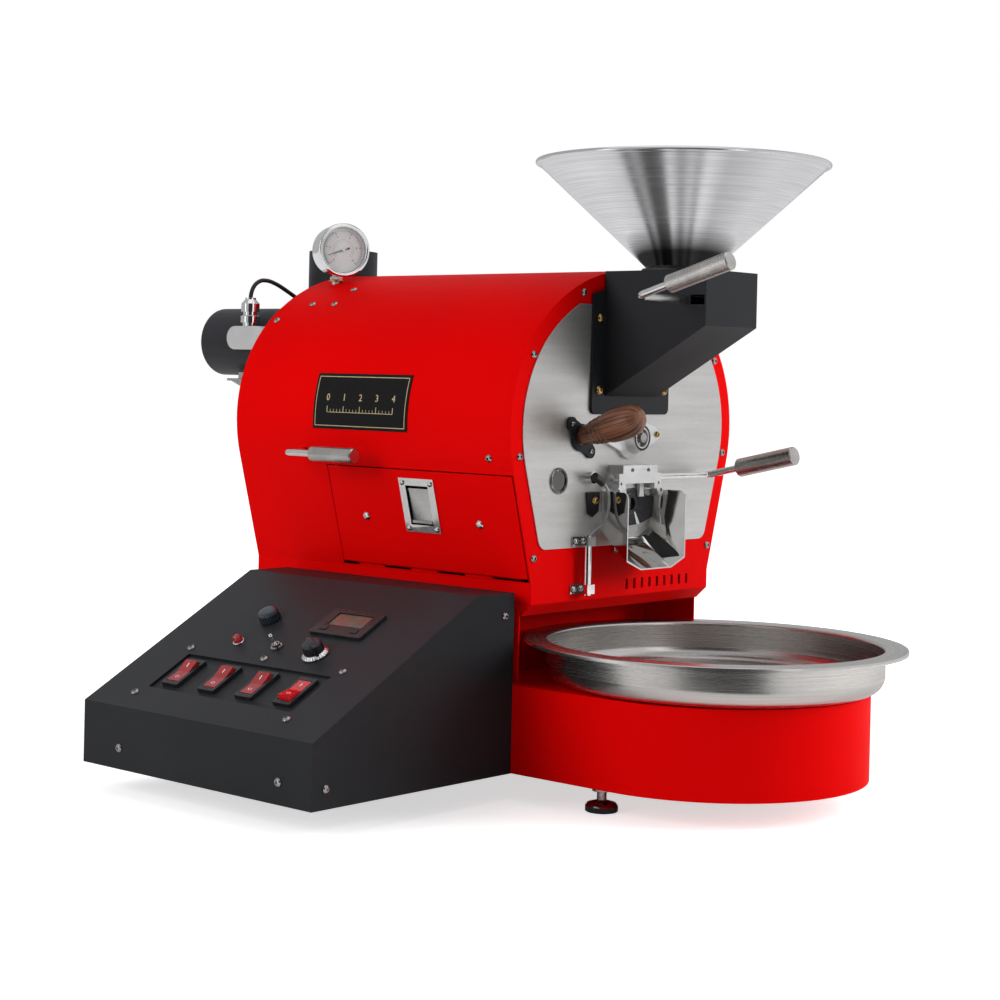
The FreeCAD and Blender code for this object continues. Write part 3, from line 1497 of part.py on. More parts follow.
def make_control_housing():
    t = box_sheet
    right = -nose_radius
    outline = [(box_left, 0), (box_left, box_low_top), (ridge_x, ridge_z), (right, ridge_z), (right, 0)]
    low = box_low_top - t / math.cos(slope) + t * math.tan(slope)
    ridge = ridge_x + t * math.tan(slope / 2)
    inner_outline = [(box_left + t, -1), (box_left + t, low), (ridge, ridge_z - t), (right - t, ridge_z - t),
                     (right - t, -1)]
    outer = prism_y(outline, box_front, box_back)
    inner = prism_y(inner_outline, box_front + t, box_back - t)
    half_s = (recess_s[1] - recess_s[0]) / 2
    half_back = (recess_backs[1] - recess_backs[0]) / 2
    cuts = [
        on_slope(block(-half_s, half_s, -half_back, half_back, -9, 5),
                 sum(recess_backs) / 2, sum(recess_s) / 2),
        on_slope(block(-meter_half_s + 2, meter_half_s - 2, -meter_half_back + 2, meter_half_back - 2, -9, 5),
                 *meter_middle),
    ]
    for back, s, radius in ((knob_back, knob_s, 4.2), (dial_back, dial_s, 3.2), (lamp_back, lamp_s, 4.0),
                            (toggle_back, toggle_s, 4.0)):
        cuts.append(on_slope(rod(V(0, 0, -9), V(0, 0, 5), radius), back, s))
    gland_place = V(-210, box_back, 40)
    cuts.append(rod(gland_place - Y_AXIS * 10, gland_place + Y_AXIS * 10, 8.0))
    housing = outer.cut(inner).cut(group(cuts)).cut(screw_holes(panel_places + box_places))
    cover = block(box_left + t, right - t, box_front + t, box_back - t, 0, t)
    gland = turned([(5, -6), (7.9, -6), (7.9, 0), (12, 0), (12, 6), (10, 8), (10, 16), (7, 20), (5, 20)],
                   gland_place, Y_AXIS, X_AXIS)
    return group([housing, cover, gland])


rocker_room = (rocker_long / 2, rocker_half_wide + 1.8)


def make_switch_plate():
    """The plate sunk behind the opening in the slope, with a bezel round each rocker."""
    t = box_sheet
    middle = (sum(recess_backs) / 2, sum(recess_s) / 2)
    half_s = (recess_s[1] - recess_s[0]) / 2
    half_back = (recess_backs[1] - recess_backs[0]) / 2
    border = block(-half_s - 16, half_s + 16, -half_back - 14, half_back + 14, -2 * t, -t)
    border = border.cut(block(-half_s, half_s, -half_back, half_back, -9, 5))
    sunk = block(-half_s - 3, half_s + 3, -half_back - 3, half_back + 3, -recess_deep - t, -recess_deep)
    half_long, half_wide = rocker_room
    cuts = [on_slope(block(-half_long, half_long, -half_wide, half_wide, -15, 5), back, rocker_s)
            for back in rocker_backs]
    plate = on_slope(join(border, sunk), *middle).cut(group(cuts)).cut(screw_holes(panel_places))
    return group([plate, *[make_bezel(back) for back in rocker_backs]])


def make_bezel(back):
    top = 1.4
    rim = block(-bezel_long / 2, bezel_long / 2, -bezel_wide / 2, bezel_wide / 2, -recess_deep, top)
    rim = filleted(rim, 1.5, lambda e: runs_along(e, Z_AXIS))
    skirt = block(-rocker_room[0] + 0.1, rocker_room[0] - 0.1, -rocker_room[1] + 0.1, rocker_room[1] - 0.1,
                  -14, -recess_deep)
    hollow = block(-rocker_long / 2 + 1.6, rocker_long / 2 - 1.6,
                   -rocker_half_wide - 0.5, rocker_half_wide + 0.5,
                   -20, top + 1)
    return on_slope(join(rim, skirt).cut(hollow), back, rocker_s)


rocker_lift = -2.5


def make_rocker(back, tilt):
    """A rocker cap with two faces that meet in a shallow valley, tipped to one side on its pin."""
    half = rocker_long / 2 - 3.2
    wide = rocker_half_wide
    cap = prism_y([(-half, -1), (-half, 6.2), (0, 3.9), (half, 6.2), (half, -1), (0, -4)], -wide, wide)
    cap = join(cap, rod(V(0, -wide - 0.4, 0), V(0, wide + 0.4, 0), 1.5))
    cap.rotate(ORIGIN, Y_AXIS, tilt)
    return on_slope(cap, back, rocker_s, rocker_lift)


def make_pointer_knob():
    skirt = turned(
        [(0, 0.6), (knob_radius, 0.6), (knob_radius, 2.2), (knob_radius - 2.5, 4.2), (0, 4.2)], ORIGIN)
    stem = rod(V(0, 0, -8), V(0, 0, 1), 4.1)
    cap = turned([(0, 4.2), (11.5, 4.2), (10.5, 15), (9.5, 16), (0, 16)], ORIGIN)
    bar = block(-14, 14, -3.2, 3.2, 8, 18)
    bar = filleted(bar, 2.0, lambda e: runs_along(e, Z_AXIS))
    bar.rotate(ORIGIN, Z_AXIS, 60)
    shapes = [on_slope(join(skirt, stem), knob_back, knob_s), on_slope(join(cap, bar), knob_back, knob_s)]
    return group(shapes)


def make_round_knob():
    profile = [(0, 0.6), (dial_radius, 0.6), (dial_radius, 9), (dial_radius - 1.5, 13), (0, 13)]
    return on_slope(join(turned(profile, ORIGIN), rod(V(0, 0, -8), V(0, 0, 1), 3.1)), dial_back, dial_s)


def make_lamp():
    lens = turned([(0, 0.1), (5.4, 0.1), (5.4, 4), (4.4, 8), (2.2, 9.4), (0, 9.6)], ORIGIN)
    return on_slope(join(lens, rod(V(0, 0, -8), V(0, 0, 1), 3.9)), lamp_back, lamp_s)


toggle_lift = 3.0


def make_toggle():
    """The toggle's fixed collar, and its bat on a cross pin, which leans to the back."""
    collar = turned(
        [(3.0, -6), (3.9, -6), (3.9, 0), (6.5, 0), (6.5, 2.4), (4.6, 2.4), (4.6, 5.5), (3.0, 5.5)], ORIGIN)
    bat = turned([(0, 0), (2.2, 0), (2.2, 1.2), (1.4, 4), (2.3, 12), (1.6, 14), (0, 14.4)], ORIGIN)
    bat = join(bat, rod(V(-2.6, 0, 0), V(2.6, 0, 0), 1.0))
    bat.rotate(ORIGIN, X_AXIS, -toggle_lean)
    return on_slope(collar, toggle_back, toggle_s), on_slope(bat, toggle_back, toggle_s, toggle_lift)


def make_controller():
    rim = block(-meter_half_s, meter_half_s, -meter_half_back, meter_half_back, 0, 4.0)
    rim = filleted(rim, 2.0, lambda e: runs_along(e, Z_AXIS))
    case_s = meter_half_s - 2.3
    case_back = meter_half_back - 2.3
    case = block(-case_s, case_s, -case_back, case_back, -30, 0.5)
    hollow = block(-6, 16, -25, 25, 1.5, 9)
    frame = join(rim, case).cut(hollow)
    buttons = []
    for sign in (-1, 1):
        y = sign * button_offset
        frame = frame.cut(block(-17, -10, y - 5, y + 5, -2, 9))
        button = block(-16.6, -10.4, y - 4.6, y + 4.6, -0.8, 5.0)
        buttons.append(on_slope(button, *meter_middle))
    screen = block(-5.8, 15.8, -24.8, 24.8, 1.5, 2.6)
    return group([on_slope(frame, *meter_middle), on_slope(screen, *meter_middle)]), buttons


# Collect the pieces, each under its own name
toggle_collar, toggle_bat = make_toggle()
controller, controller_buttons = make_controller()
gauge_case, gauge_needle, gauge_lens = make_gauge()

nodes["base_shell"] = make_base_shell()
nodes["levelling_feet"] = make_feet()
nodes["front_panel"] = make_front_panel()
nodes["face_plate"] = make_face_plate()
nodes["body_wrap"] = group([make_body_wrap(), make_fixed_hinge()])
nodes["rear_panel"] = group([make_rear_panel(), make_grommet()])
nodes["body_floor"] = make_body_floor()
nodes["cooling_pan"] = make_pan()
nodes["pan_screen"] = make_pan_screen()
nodes["hopper"] = make_hopper()
nodes["feed_chute"] = make_feed_chute()
nodes["hopper_gate"] = make_gate()
nodes["discharge_spout"] = make_spout()
nodes["hinge_block"] = make_hinge_block()
nodes["discharge_door"] = make_door()
nodes["door_lever"] = make_door_lever()
nodes["trier_handle"] = make_trier_handle()
nodes["trier_scoop"] = make_trier_scoop()
nodes["trier_flange"] = make_trier_flange()
nodes["view_port"] = make_view_port()
nodes["shaft_bearings"] = make_bearings()
nodes["drum_casing"] = make_casing()
nodes["roasting_drum"] = make_drum()
nodes["drum_shaft"] = make_drum_shaft()
nodes["drive_belt"] = make_belt()
nodes["motor_pulley"] = make_motor_pulley()
nodes["drum_motor"] = make_drum_motor()
nodes["motor_bracket"] = make_motor_bracket()
nodes["terminal_box"] = make_terminal_box()
nodes["motor_lead"] = swept_tube(motor_lead_route, motor_lead_radius, "motor lead")
nodes["exhaust_blower"] = make_blower()
nodes["exhaust_stack"] = make_stack()
nodes["fan_wheel"] = make_fan_wheel()
nodes["gas_burner"] = make_burner()
nodes["gas_pipe"] = make_gas_pipe()
nodes["access_door"] = make_access_door()
nodes["latch_plate"] = make_latch_plate()
nodes["latch_paddle"] = make_latch_paddle()
nodes["airflow_lever"] = make_airflow_lever()
nodes["airflow_valve"] = make_airflow_valve()
nodes["airflow_plate"] = make_airflow_plate()
nodes["control_housing"] = make_control_housing()
nodes["switch_plate"] = make_switch_plate()
for number, rocker in enumerate(zip(rocker_backs, rocker_tilts), 1):
    nodes[f"rocker_{number}"] = make_rocker(*rocker)
nodes["pilot_lamp"] = make_lamp()
nodes["toggle_bat"] = toggle_bat
nodes["pointer_knob"] = make_pointer_knob()
nodes["round_knob"] = make_round_knob()
nodes["controller"] = controller
for number, button in enumerate(controller_buttons, 1):
    nodes[f"controller_button_{number}"] = button
nodes["gauge_case"] = gauge_case
nodes["gauge_needle"] = gauge_needle
nodes["gauge_lens"] = gauge_lens
nodes["bean_probe"] = make_bean_probe()
nodes["probe_lead"] = swept_tube(probe_lead_route, probe_lead_radius, "probe lead")
fastener_places = front_places + wrap_places + chute_places + bearing_places + trier_places
fastener_places += panel_places + box_places
nodes["fasteners"] = group([*screws(fastener_places), toggle_collar])

# Move the origin to the middle of the footprint, on the surface that the feet stand on
whole = group(nodes.values()).BoundBox
shift = V(-(whole.XMin + whole.XMax) / 2, -(whole.YMin + whole.YMax) / 2, foot_height)

os.makedirs("parts", exist_ok=True)
for name, shape in nodes.items():
    shape.translate(shift)
    shape.exportStep(os.path.join("parts", name + ".step"))
print(len(nodes), "nodes; origin moved by", tuple(round(value, 3) for value in shift),
      "size", round(whole.XLength, 1), round(whole.YLength, 1), round(whole.ZLength, 1))
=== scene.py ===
import json
import math

import bmesh
import bpy
import numpy as np
from mathutils import Matrix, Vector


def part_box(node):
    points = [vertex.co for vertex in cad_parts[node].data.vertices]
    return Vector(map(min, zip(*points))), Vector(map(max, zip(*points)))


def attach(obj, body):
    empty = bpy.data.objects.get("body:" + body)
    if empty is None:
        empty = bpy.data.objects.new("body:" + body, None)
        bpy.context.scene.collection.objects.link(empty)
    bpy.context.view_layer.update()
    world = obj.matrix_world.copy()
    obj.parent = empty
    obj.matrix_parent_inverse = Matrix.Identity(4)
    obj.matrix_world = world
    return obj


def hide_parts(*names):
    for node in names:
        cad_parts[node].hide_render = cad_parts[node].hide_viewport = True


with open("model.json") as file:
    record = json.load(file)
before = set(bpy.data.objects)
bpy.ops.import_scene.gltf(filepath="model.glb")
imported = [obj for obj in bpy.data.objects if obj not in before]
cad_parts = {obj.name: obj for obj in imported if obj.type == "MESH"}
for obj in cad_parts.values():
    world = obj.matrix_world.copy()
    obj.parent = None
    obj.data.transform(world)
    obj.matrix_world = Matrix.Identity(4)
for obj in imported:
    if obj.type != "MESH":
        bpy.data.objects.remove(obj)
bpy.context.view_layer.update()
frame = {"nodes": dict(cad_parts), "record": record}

# Drawing places are in millimetres: x = 0 on the centre line, y = 0 on the front panel's face,
# z = 0 under the base. baseShift takes them to the frame that the model is packed in.
drumLow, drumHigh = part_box("roasting_drum")
panelLow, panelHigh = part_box("front_panel")
shellLow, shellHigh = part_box("base_shell")
baseShift = np.array([(drumLow.x + drumHigh.x) / 2, panelLow.y, shellLow.z]) * 1000

bodyOfNode = {}
for bodyName, members in frame["record"]["behaviour"]["bodies"].items():
    for member in members:
        bodyOfNode[member] = bodyName
print("frame loaded, shift in mm", np.round(baseShift, 2))


def toFrame(points):
    return (np.asarray(points, float) + baseShift) / 1000


# Materials
def startMaterial(name, look):
    material = bpy.data.materials.new(name)
    material.use_nodes = True
    shader = material.node_tree.nodes["Principled BSDF"]
    for socket, value in look.items():
        shader.inputs[socket].default_value = value
    return material, material.node_tree, shader


def addNode(tree, kind, links=None, values=None, **settings):
    node = tree.nodes.new(kind)
    for key, value in settings.items():
        setattr(node, key, value)
    for key, value in (values or {}).items():
        node.inputs[key].default_value = value
    for key, socket in (links or {}).items():
        tree.links.new(socket, node.inputs[key])
    return node


def patternVector(tree, stretch=(1, 1, 1), turn=(0, 0, 0), centre=None, fromUv=False):
    coordinates = addNode(tree, "ShaderNodeTexCoord")
    vector = coordinates.outputs["UV" if fromUv else "Object"]
    if centre is not None:
        place = tuple(-value for value in toFrame(centre))
        vector = addNode(tree, "ShaderNodeMapping", {"Vector": vector}, {"Location": place}).outputs[0]
    mapping = addNode(tree, "ShaderNodeMapping", {"Vector": vector}, {"Rotation": turn, "Scale": stretch})
    return mapping.outputs[0]


def noiseOf(tree, vector, scale, detail=3.0, rough=0.5):
    node = addNode(tree, "ShaderNodeTexNoise", {"Vector": vector},
                   {"Scale": scale, "Detail": detail, "Roughness": rough})
    return node.outputs["Fac"]


def rampOf(tree, value, stops):
    node = addNode(tree, "ShaderNodeValToRGB", {"Fac": value})
    ramp = node.color_ramp
    while len(ramp.elements) < len(stops):
        ramp.elements.new(0.5)
    for element, (place, colour) in zip(ramp.elements, stops):
        element.position = place
        element.color = (*colour, 1) if len(colour) == 3 else (colour[0],) * 3 + (1,)
    return node.outputs["Color"]


def rangeOf(tree, value, low, high, fromLow=0.3, fromHigh=0.7):
    node = addNode(tree, "ShaderNodeMapRange", {"Value": value},
                   {"From Min": fromLow, "From Max": fromHigh, "To Min": low, "To Max": high})
    return node.outputs[0]


def bumpOf(tree, height, distance, strength=1.0, under=None):
    links = {"Height": height}
    if under is not None:
        links["Normal"] = under
    node = addNode(tree, "ShaderNodeBump", links, {"Distance": distance, "Strength": strength})
    return node.outputs[0]


def setInput(tree, shader, socket, output):
    tree.links.new(output, shader.inputs[socket])


def powderCoat(name, colour, deep, roughness, grainScale, grainDepth, coat=0.0, specular=0.5):
    # Paint: two shades that change slowly, and a fine orange-peel grain
    material, tree, shader = startMaterial(name, {
        "Coat Weight": coat, "Coat Roughness": 0.18, "Specular IOR Level": specular})
    vector = patternVector(tree)
    slow = noiseOf(tree, vector, 5.0, 2.0)
    fine = noiseOf(tree, vector, grainScale, 2.0)
    setInput(tree, shader, "Base Color", rampOf(tree, slow, [(0.3, deep), (0.7, colour)]))
    setInput(tree, shader, "Roughness", rangeOf(tree, fine, roughness - 0.04, roughness + 0.05))
    setInput(tree, shader, "Normal", bumpOf(tree, fine, grainDepth))
    return material


def brushedMetal(name, colour, dark, roughness, stretch, depth, turn=(0, 0, 0), streak=260.0):
    # Steel brushed one way: noise drawn out along the brushing drives shade, gloss and grooves
    material, tree, shader = startMaterial(name, {"Metallic": 1.0})
    vector = patternVector(tree, stretch, turn)
    lines = noiseOf(tree, vector, streak, 4.0, 0.6)
    broad = noiseOf(tree, vector, streak / 12, 2.0)
    mixed = addNode(tree, "ShaderNodeMath", {0: lines, 1: broad}, operation="ADD").outputs[0]
    setInput(tree, shader, "Base Color", rampOf(tree, rangeOf(tree, mixed, 0, 1, 0.75, 1.25),
                                                [(0.0, dark), (1.0, colour)]))
    setInput(tree, shader, "Roughness", rangeOf(tree, lines, roughness - 0.05, roughness + 0.08))
    setInput(tree, shader, "Normal", bumpOf(tree, lines, depth))
    return material


def spunMetal(name, colour, dark, roughness, ringScale, depth, anisotropy=0.0, ringAxis="v"):
    # Steel spun on a lathe: rings of shade and fine grooves at one place along the profile (v of the UV map)
    material, tree, shader = startMaterial(name, {"Metallic": 1.0, "Anisotropic": anisotropy})
    stretch = (0.6, ringScale, 1) if ringAxis == "v" else (ringScale, 0.6, 1)
    vector = patternVector(tree, stretch, fromUv=True)
    rings = noiseOf(tree, vector, 9.0, 5.0, 0.65)
    broad = noiseOf(tree, vector, 1.4, 2.0)
    setInput(tree, shader, "Base Color", rampOf(tree, rangeOf(tree, rings, 0, 1, 0.35, 0.65),
                                                [(0.0, dark), (1.0, colour)]))
    setInput(tree, shader, "Roughness", rangeOf(tree, broad, roughness - 0.03, roughness + 0.05))
    setInput(tree, shader, "Normal", bumpOf(tree, rings, depth))
    if anisotropy:
        tangent = addNode(tree, "ShaderNodeTangent", direction_type="UV_MAP", uv_map="surfaceUv")
        setInput(tree, shader, "Tangent", tangent.outputs[0])
    return material


def smoothMetal(name, colour, dark, roughness, smudge=30.0):
    # Polished metal with a faint cloud of smudges in its gloss
    material, tree, shader = startMaterial(name, {"Metallic": 1.0})
    vector = patternVector(tree)
    cloud = noiseOf(tree, vector, smudge, 3.0)
    setInput(tree, shader, "Base Color", rampOf(tree, cloud, [(0.3, dark), (0.7, colour)]))
    setInput(tree, shader, "Roughness", rangeOf(tree, cloud, max(0.02, roughness - 0.03), roughness + 0.04))
    return material


def turnedMetal(name, colour, dark, roughness, direction, pitch=0.0006, depth=0.00001):
    # Bar stock from the lathe: one-dimensional noise of the place along the bar gives fine rings, with a soft cloud
    material, tree, shader = startMaterial(name, {"Metallic": 1.0})
    coordinates = addNode(tree, "ShaderNodeTexCoord")
    along = addNode(tree, "ShaderNodeVectorMath", {0: coordinates.outputs["Object"]}, {1: direction},
                    operation="DOT_PRODUCT").outputs["Value"]
    lines = addNode(tree, "ShaderNodeTexNoise", {"W": along}, {"Scale": 1 / pitch, "Detail": 2.0},
                    noise_dimensions="1D").outputs["Fac"]
    cloud = noiseOf(tree, coordinates.outputs["Object"], 60.0, 3.0)
    mixed = addNode(tree, "ShaderNodeMath", {0: lines, 1: cloud}, operation="ADD").outputs[0]
    setInput(tree, shader, "Base Color", rampOf(tree, rangeOf(tree, mixed, 0, 1, 0.7, 1.3),
                                                [(0.0, dark), (1.0, colour)]))
    setInput(tree, shader, "Roughness", rangeOf(tree, lines, roughness - 0.05, roughness + 0.08))
    setInput(tree, shader, "Normal", bumpOf(tree, lines, depth))
    return material


def castMetal(name, colour, dark, roughness, scale=600.0, depth=0.00008):
    # Cast or heat-stained metal: blotches of shade and a sandy skin
    material, tree, shader = startMaterial(name, {"Metallic": 0.9})
    vector = patternVector(tree)
    blotch = noiseOf(tree, vector, 25.0, 4.0)
    sand = noiseOf(tree, vector, scale, 3.0)
    setInput(tree, shader, "Base Color", rampOf(tree, blotch, [(0.3, dark), (0.7, colour)]))
    setInput(tree, shader, "Roughness", rangeOf(tree, sand, roughness - 0.08, roughness + 0.1))
    setInput(tree, shader, "Normal", bumpOf(tree, sand, depth))
    return material


def mouldedPlastic(name, colour, dark, roughness, depth=0.00002, transmission=0.0, coat=0.0):
    # Moulded plastic with a faint cloud in its colour and a slight skin
    material, tree, shader = startMaterial(name, {
        "Transmission Weight": transmission, "IOR": 1.49, "Coat Weight": coat, "Coat Roughness": 0.08})
    vector = patternVector(tree)
    cloud = noiseOf(tree, vector, 80.0, 2.0)
    skin = noiseOf(tree, vector, 1500.0, 2.0)
    setInput(tree, shader, "Base Color", rampOf(tree, cloud, [(0.3, dark), (0.7, colour)]))
    setInput(tree, shader, "Roughness", rangeOf(tree, skin, roughness - 0.04, roughness + 0.06))
    setInput(tree, shader, "Normal", bumpOf(tree, skin, depth))
    return material


def stripedWood(name):
    # Oiled dark hardwood: long stripes round the handle, broken by noise, with open pores
    material, tree, shader = startMaterial(name, {"Coat Weight": 0.25, "Coat Roughness": 0.25})
    vector = patternVector(tree, (26, 0.9, 1), fromUv=True)
    stripes = noiseOf(tree, vector, 1.15, 3.0, 0.55)
    pores = noiseOf(tree, patternVector(tree, (120, 2.5, 1), fromUv=True), 3.0, 2.0)
    setInput(tree, shader, "Base Color", rampOf(tree, stripes, [
        (0.36, (0.030, 0.010, 0.006)), (0.45, (0.085, 0.026, 0.012)), (0.52, (0.23, 0.085, 0.034)),
        (0.58, (0.10, 0.032, 0.015)), (0.68, (0.36, 0.16, 0.07))]))
    setInput(tree, shader, "Roughness", rangeOf(tree, pores, 0.34, 0.52))
    setInput(tree, shader, "Normal", bumpOf(tree, pores, 0.00012))
    return material


def clearGlass(name, tint=(0.95, 0.97, 0.97, 1)):
    # Thin flat glass: what lies behind shows straight through, and more is mirrored the flatter it is seen
    material, tree, shader = startMaterial(name, {"Metallic": 1.0, "Base Color": (1, 1, 1, 1)})
    cloud = noiseOf(tree, patternVector(tree), 90.0, 2.0)
    setInput(tree, shader, "Roughness", rangeOf(tree, cloud, 0.01, 0.04))
    through = addNode(tree, "ShaderNodeBsdfTransparent", values={"Color": tint})
    flatness = addNode(tree, "ShaderNodeLayerWeight", values={"Blend": 0.15})
    mixed = addNode(tree, "ShaderNodeMixShader",
                    {0: flatness.outputs["Facing"], 1: through.outputs[0], 2: shader.outputs[0]})
    tree.links.new(mixed.outputs[0], tree.nodes["Material Output"].inputs["Surface"])
    return material


def enamel(name, colour, dark, roughness=0.35, specular=0.5):
    # Printed or painted small surface with a faint unevenness
    material, tree, shader = startMaterial(name, {"Specular IOR Level": specular})
    cloud = noiseOf(tree, patternVector(tree), 300.0, 2.0)
    setInput(tree, shader, "Base Color", rampOf(tree, cloud, [(0.3, dark), (0.7, colour)]))
    setInput(tree, shader, "Roughness", rangeOf(tree, cloud, roughness - 0.04, roughness + 0.05))
    return material


leverWay = {"door": (0.0, -0.974, 0.225), "gate": (0.0, -0.956, 0.292), "flow": (0.0, -1.0, 0.0)}
redPaint = powderCoat("redPowderCoat", (0.80, 0.0008, 0.0010), (0.74, 0.0006, 0.0008), 0.5, 1400, 0.00002,
                      specular=0.02)
blackPaint = powderCoat("blackPowderCoat", (0.019, 0.020, 0.022), (0.014, 0.015, 0.017), 0.45, 2600, 0.00006,
                        specular=0.16)
panelPaint = powderCoat("panelPowderCoat", (0.026, 0.027, 0.031), (0.019, 0.020, 0.023), 0.42, 2600, 0.00006,
                        specular=0.2)
motorPaint = powderCoat("motorPaint", (0.022, 0.022, 0.026), (0.014, 0.014, 0.018), 0.45, 900, 0.00008,
                        specular=0.25)
faceSteel = brushedMetal("faceSteel", (0.72, 0.71, 0.68), (0.62, 0.61, 0.58), 0.40, (0.5, 1, 6), 0.000015)
sheetSteel = brushedMetal("sheetSteel", (0.66, 0.65, 0.63), (0.50, 0.50, 0.48), 0.30, (4, 1, 0.6), 0.00001)
hopperSteel = spunMetal("hopperSteel", (0.80, 0.80, 0.79), (0.58, 0.58, 0.58), 0.17, 46, 0.00004, anisotropy=0.6)
panSteel = spunMetal("panSteel", (0.72, 0.70, 0.67), (0.50, 0.48, 0.46), 0.25, 60, 0.00003, anisotropy=0.55)
mirrorSteel = smoothMetal("mirrorSteel", (0.72, 0.71, 0.69), (0.66, 0.65, 0.63), 0.045)
chrome = smoothMetal("chrome", (0.80, 0.80, 0.79), (0.72, 0.72, 0.71), 0.09, 120)
screwSteel = smoothMetal("screwSteel", (0.50, 0.49, 0.47), (0.34, 0.33, 0.32), 0.12, 400)
goldPlate = smoothMetal("goldPlate", (0.62, 0.43, 0.17), (0.48, 0.31, 0.11), 0.24, 400)
brass = smoothMetal("brass", (0.66, 0.47, 0.20), (0.52, 0.35, 0.13), 0.26, 200)
gripSteel = {key: turnedMetal(key + "GripSteel", (0.62, 0.60, 0.57), (0.42, 0.40, 0.38), 0.27, way)
             for key, way in leverWay.items()}
paleCast = castMetal("paleCast", (0.80, 0.80, 0.79), (0.70, 0.70, 0.69), 0.42, 900, 0.00003)
heatSteel = castMetal("heatSteel", (0.16, 0.13, 0.11), (0.07, 0.06, 0.055), 0.5)
darkSteel = castMetal("darkSteel", (0.10, 0.10, 0.105), (0.05, 0.05, 0.055), 0.42, 900, 0.00003)
zincSteel = castMetal("zincSteel", (0.55, 0.56, 0.57), (0.42, 0.43, 0.45), 0.35, 200, 0.00003)
darkPlastic = mouldedPlastic("darkPlastic", (0.018, 0.018, 0.020), (0.010, 0.010, 0.012), 0.28)
knobPlastic = mouldedPlastic("knobPlastic", (0.018, 0.030, 0.042), (0.010, 0.016, 0.026), 0.16, coat=0.5)
rockerRed = mouldedPlastic("rockerRed", (0.50, 0.006, 0.012), (0.34, 0.004, 0.008), 0.16, transmission=0.15, coat=0.6)
rockerLit = mouldedPlastic("rockerLit", (0.85, 0.014, 0.022), (0.66, 0.008, 0.014), 0.16, transmission=0.15, coat=0.6)
lampRed = mouldedPlastic("lampRed", (0.72, 0.02, 0.02), (0.5, 0.01, 0.01), 0.08, transmission=0.35, coat=0.5)
cableRubber = mouldedPlastic("cableRubber", (0.014, 0.014, 0.015), (0.009, 0.009, 0.010), 0.42)
greyRubber = mouldedPlastic("greyRubber", (0.36, 0.37, 0.38), (0.28, 0.29, 0.30), 0.4)
beltRubber = mouldedPlastic("beltRubber", (0.030, 0.028, 0.027), (0.018, 0.017, 0.016), 0.6)
woodGrain = stripedWood("stripedWood")
gaugeGlass = clearGlass("gaugeGlass")
portGlass = clearGlass("portGlass", (0.25, 0.22, 0.20, 1))
whiteEnamel = enamel("whiteEnamel", (0.93, 0.94, 0.93), (0.90, 0.91, 0.90), 0.6, specular=0.1)
whitePrint = enamel("whitePrint", (0.78, 0.76, 0.74), (0.70, 0.68, 0.66))
darkPrint = enamel("darkPrint", (0.03, 0.03, 0.035), (0.02, 0.02, 0.022))
greyPrint = enamel("greyPrint", (0.30, 0.31, 0.33), (0.24, 0.25, 0.27))
scaleGreen = enamel("scaleGreen", (0.16, 0.36, 0.17), (0.12, 0.30, 0.14))
goldPrint = enamel("goldPrint", (0.62, 0.50, 0.28), (0.50, 0.39, 0.20), 0.4)
plateBlack = enamel("plateBlack", (0.013, 0.012, 0.012), (0.009, 0.009, 0.009), 0.5, specular=0.06)
castGrey = enamel("castGrey", (0.60, 0.62, 0.60), (0.52, 0.54, 0.52), 0.35)
screenGlass = mouldedPlastic("screenGlass", (0.115, 0.12, 0.085), (0.085, 0.09, 0.065), 0.12, coat=0.8)
tileCeramic = castMetal("tileCeramic", (0.62, 0.42, 0.28), (0.42, 0.27, 0.18), 0.8, 400, 0.0003)
print("materials made", len(bpy.data.materials))


# Mesh helpers
def linkObject(name, mesh, body, nodes=()):
    piece = bpy.data.objects.new(name, mesh)
    bpy.context.scene.collection.objects.link(piece)
    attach(piece, body)
    if nodes:
        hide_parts(*nodes)
    return piece


def gridMesh(name, points, closedU=False, closedV=False):
    # points is (count in u, count in v, 3) in drawing millimetres; each cell of the grid is one face
    countU, countV = points.shape[:2]
    u = np.arange(countU if closedU else countU - 1)
    v = np.arange(countV if closedV else countV - 1)
    cellU, cellV = (part.ravel() for part in np.meshgrid(u, v, indexing="ij"))
    nextU = (cellU + 1) % countU
    nextV = (cellV + 1) % countV
    corners = np.stack([cellU * countV + cellV, nextU * countV + cellV,
                        nextU * countV + nextV, cellU * countV + nextV], axis=1)
    mesh = bpy.data.meshes.new(name)
    mesh.vertices.add(countU * countV)
    mesh.vertices.foreach_set("co", toFrame(points).reshape(-1).astype(np.float32))
    mesh.loops.add(corners.size)
    mesh.loops.foreach_set("vertex_index", corners.reshape(-1).astype(np.int32))
    mesh.polygons.add(len(corners))
    mesh.polygons.foreach_set("loop_start", np.arange(0, corners.size, 4, dtype=np.int32))
    mesh.update(calc_edges=True)
    uvU = np.stack([cellU, cellU + 1, cellU + 1, cellU], axis=1) / max(1, len(u))
    uvV = np.stack([cellV, cellV, cellV + 1, cellV + 1], axis=1) / max(1, len(v))
    layer = mesh.uv_layers.new(name="surfaceUv")
    layer.data.foreach_set("uv", np.stack([uvU, uvV], axis=2).reshape(-1).astype(np.float32))
    mesh.polygons.foreach_set("use_smooth", np.ones(len(corners), bool))
    return mesh


def mergeDoubles(mesh, distance=1e-6, flatten=0.0, outward=False):
    work = bmesh.new()
    work.from_mesh(mesh)
    bmesh.ops.remove_doubles(work, verts=work.verts, dist=distance)
    if flatten:
        bmesh.ops.dissolve_limit(work, angle_limit=flatten, verts=work.verts, edges=work.edges, delimit={"MATERIAL"})
    if outward:
        bmesh.ops.recalc_face_normals(work, faces=work.faces)
    work.to_mesh(mesh)
    work.free()


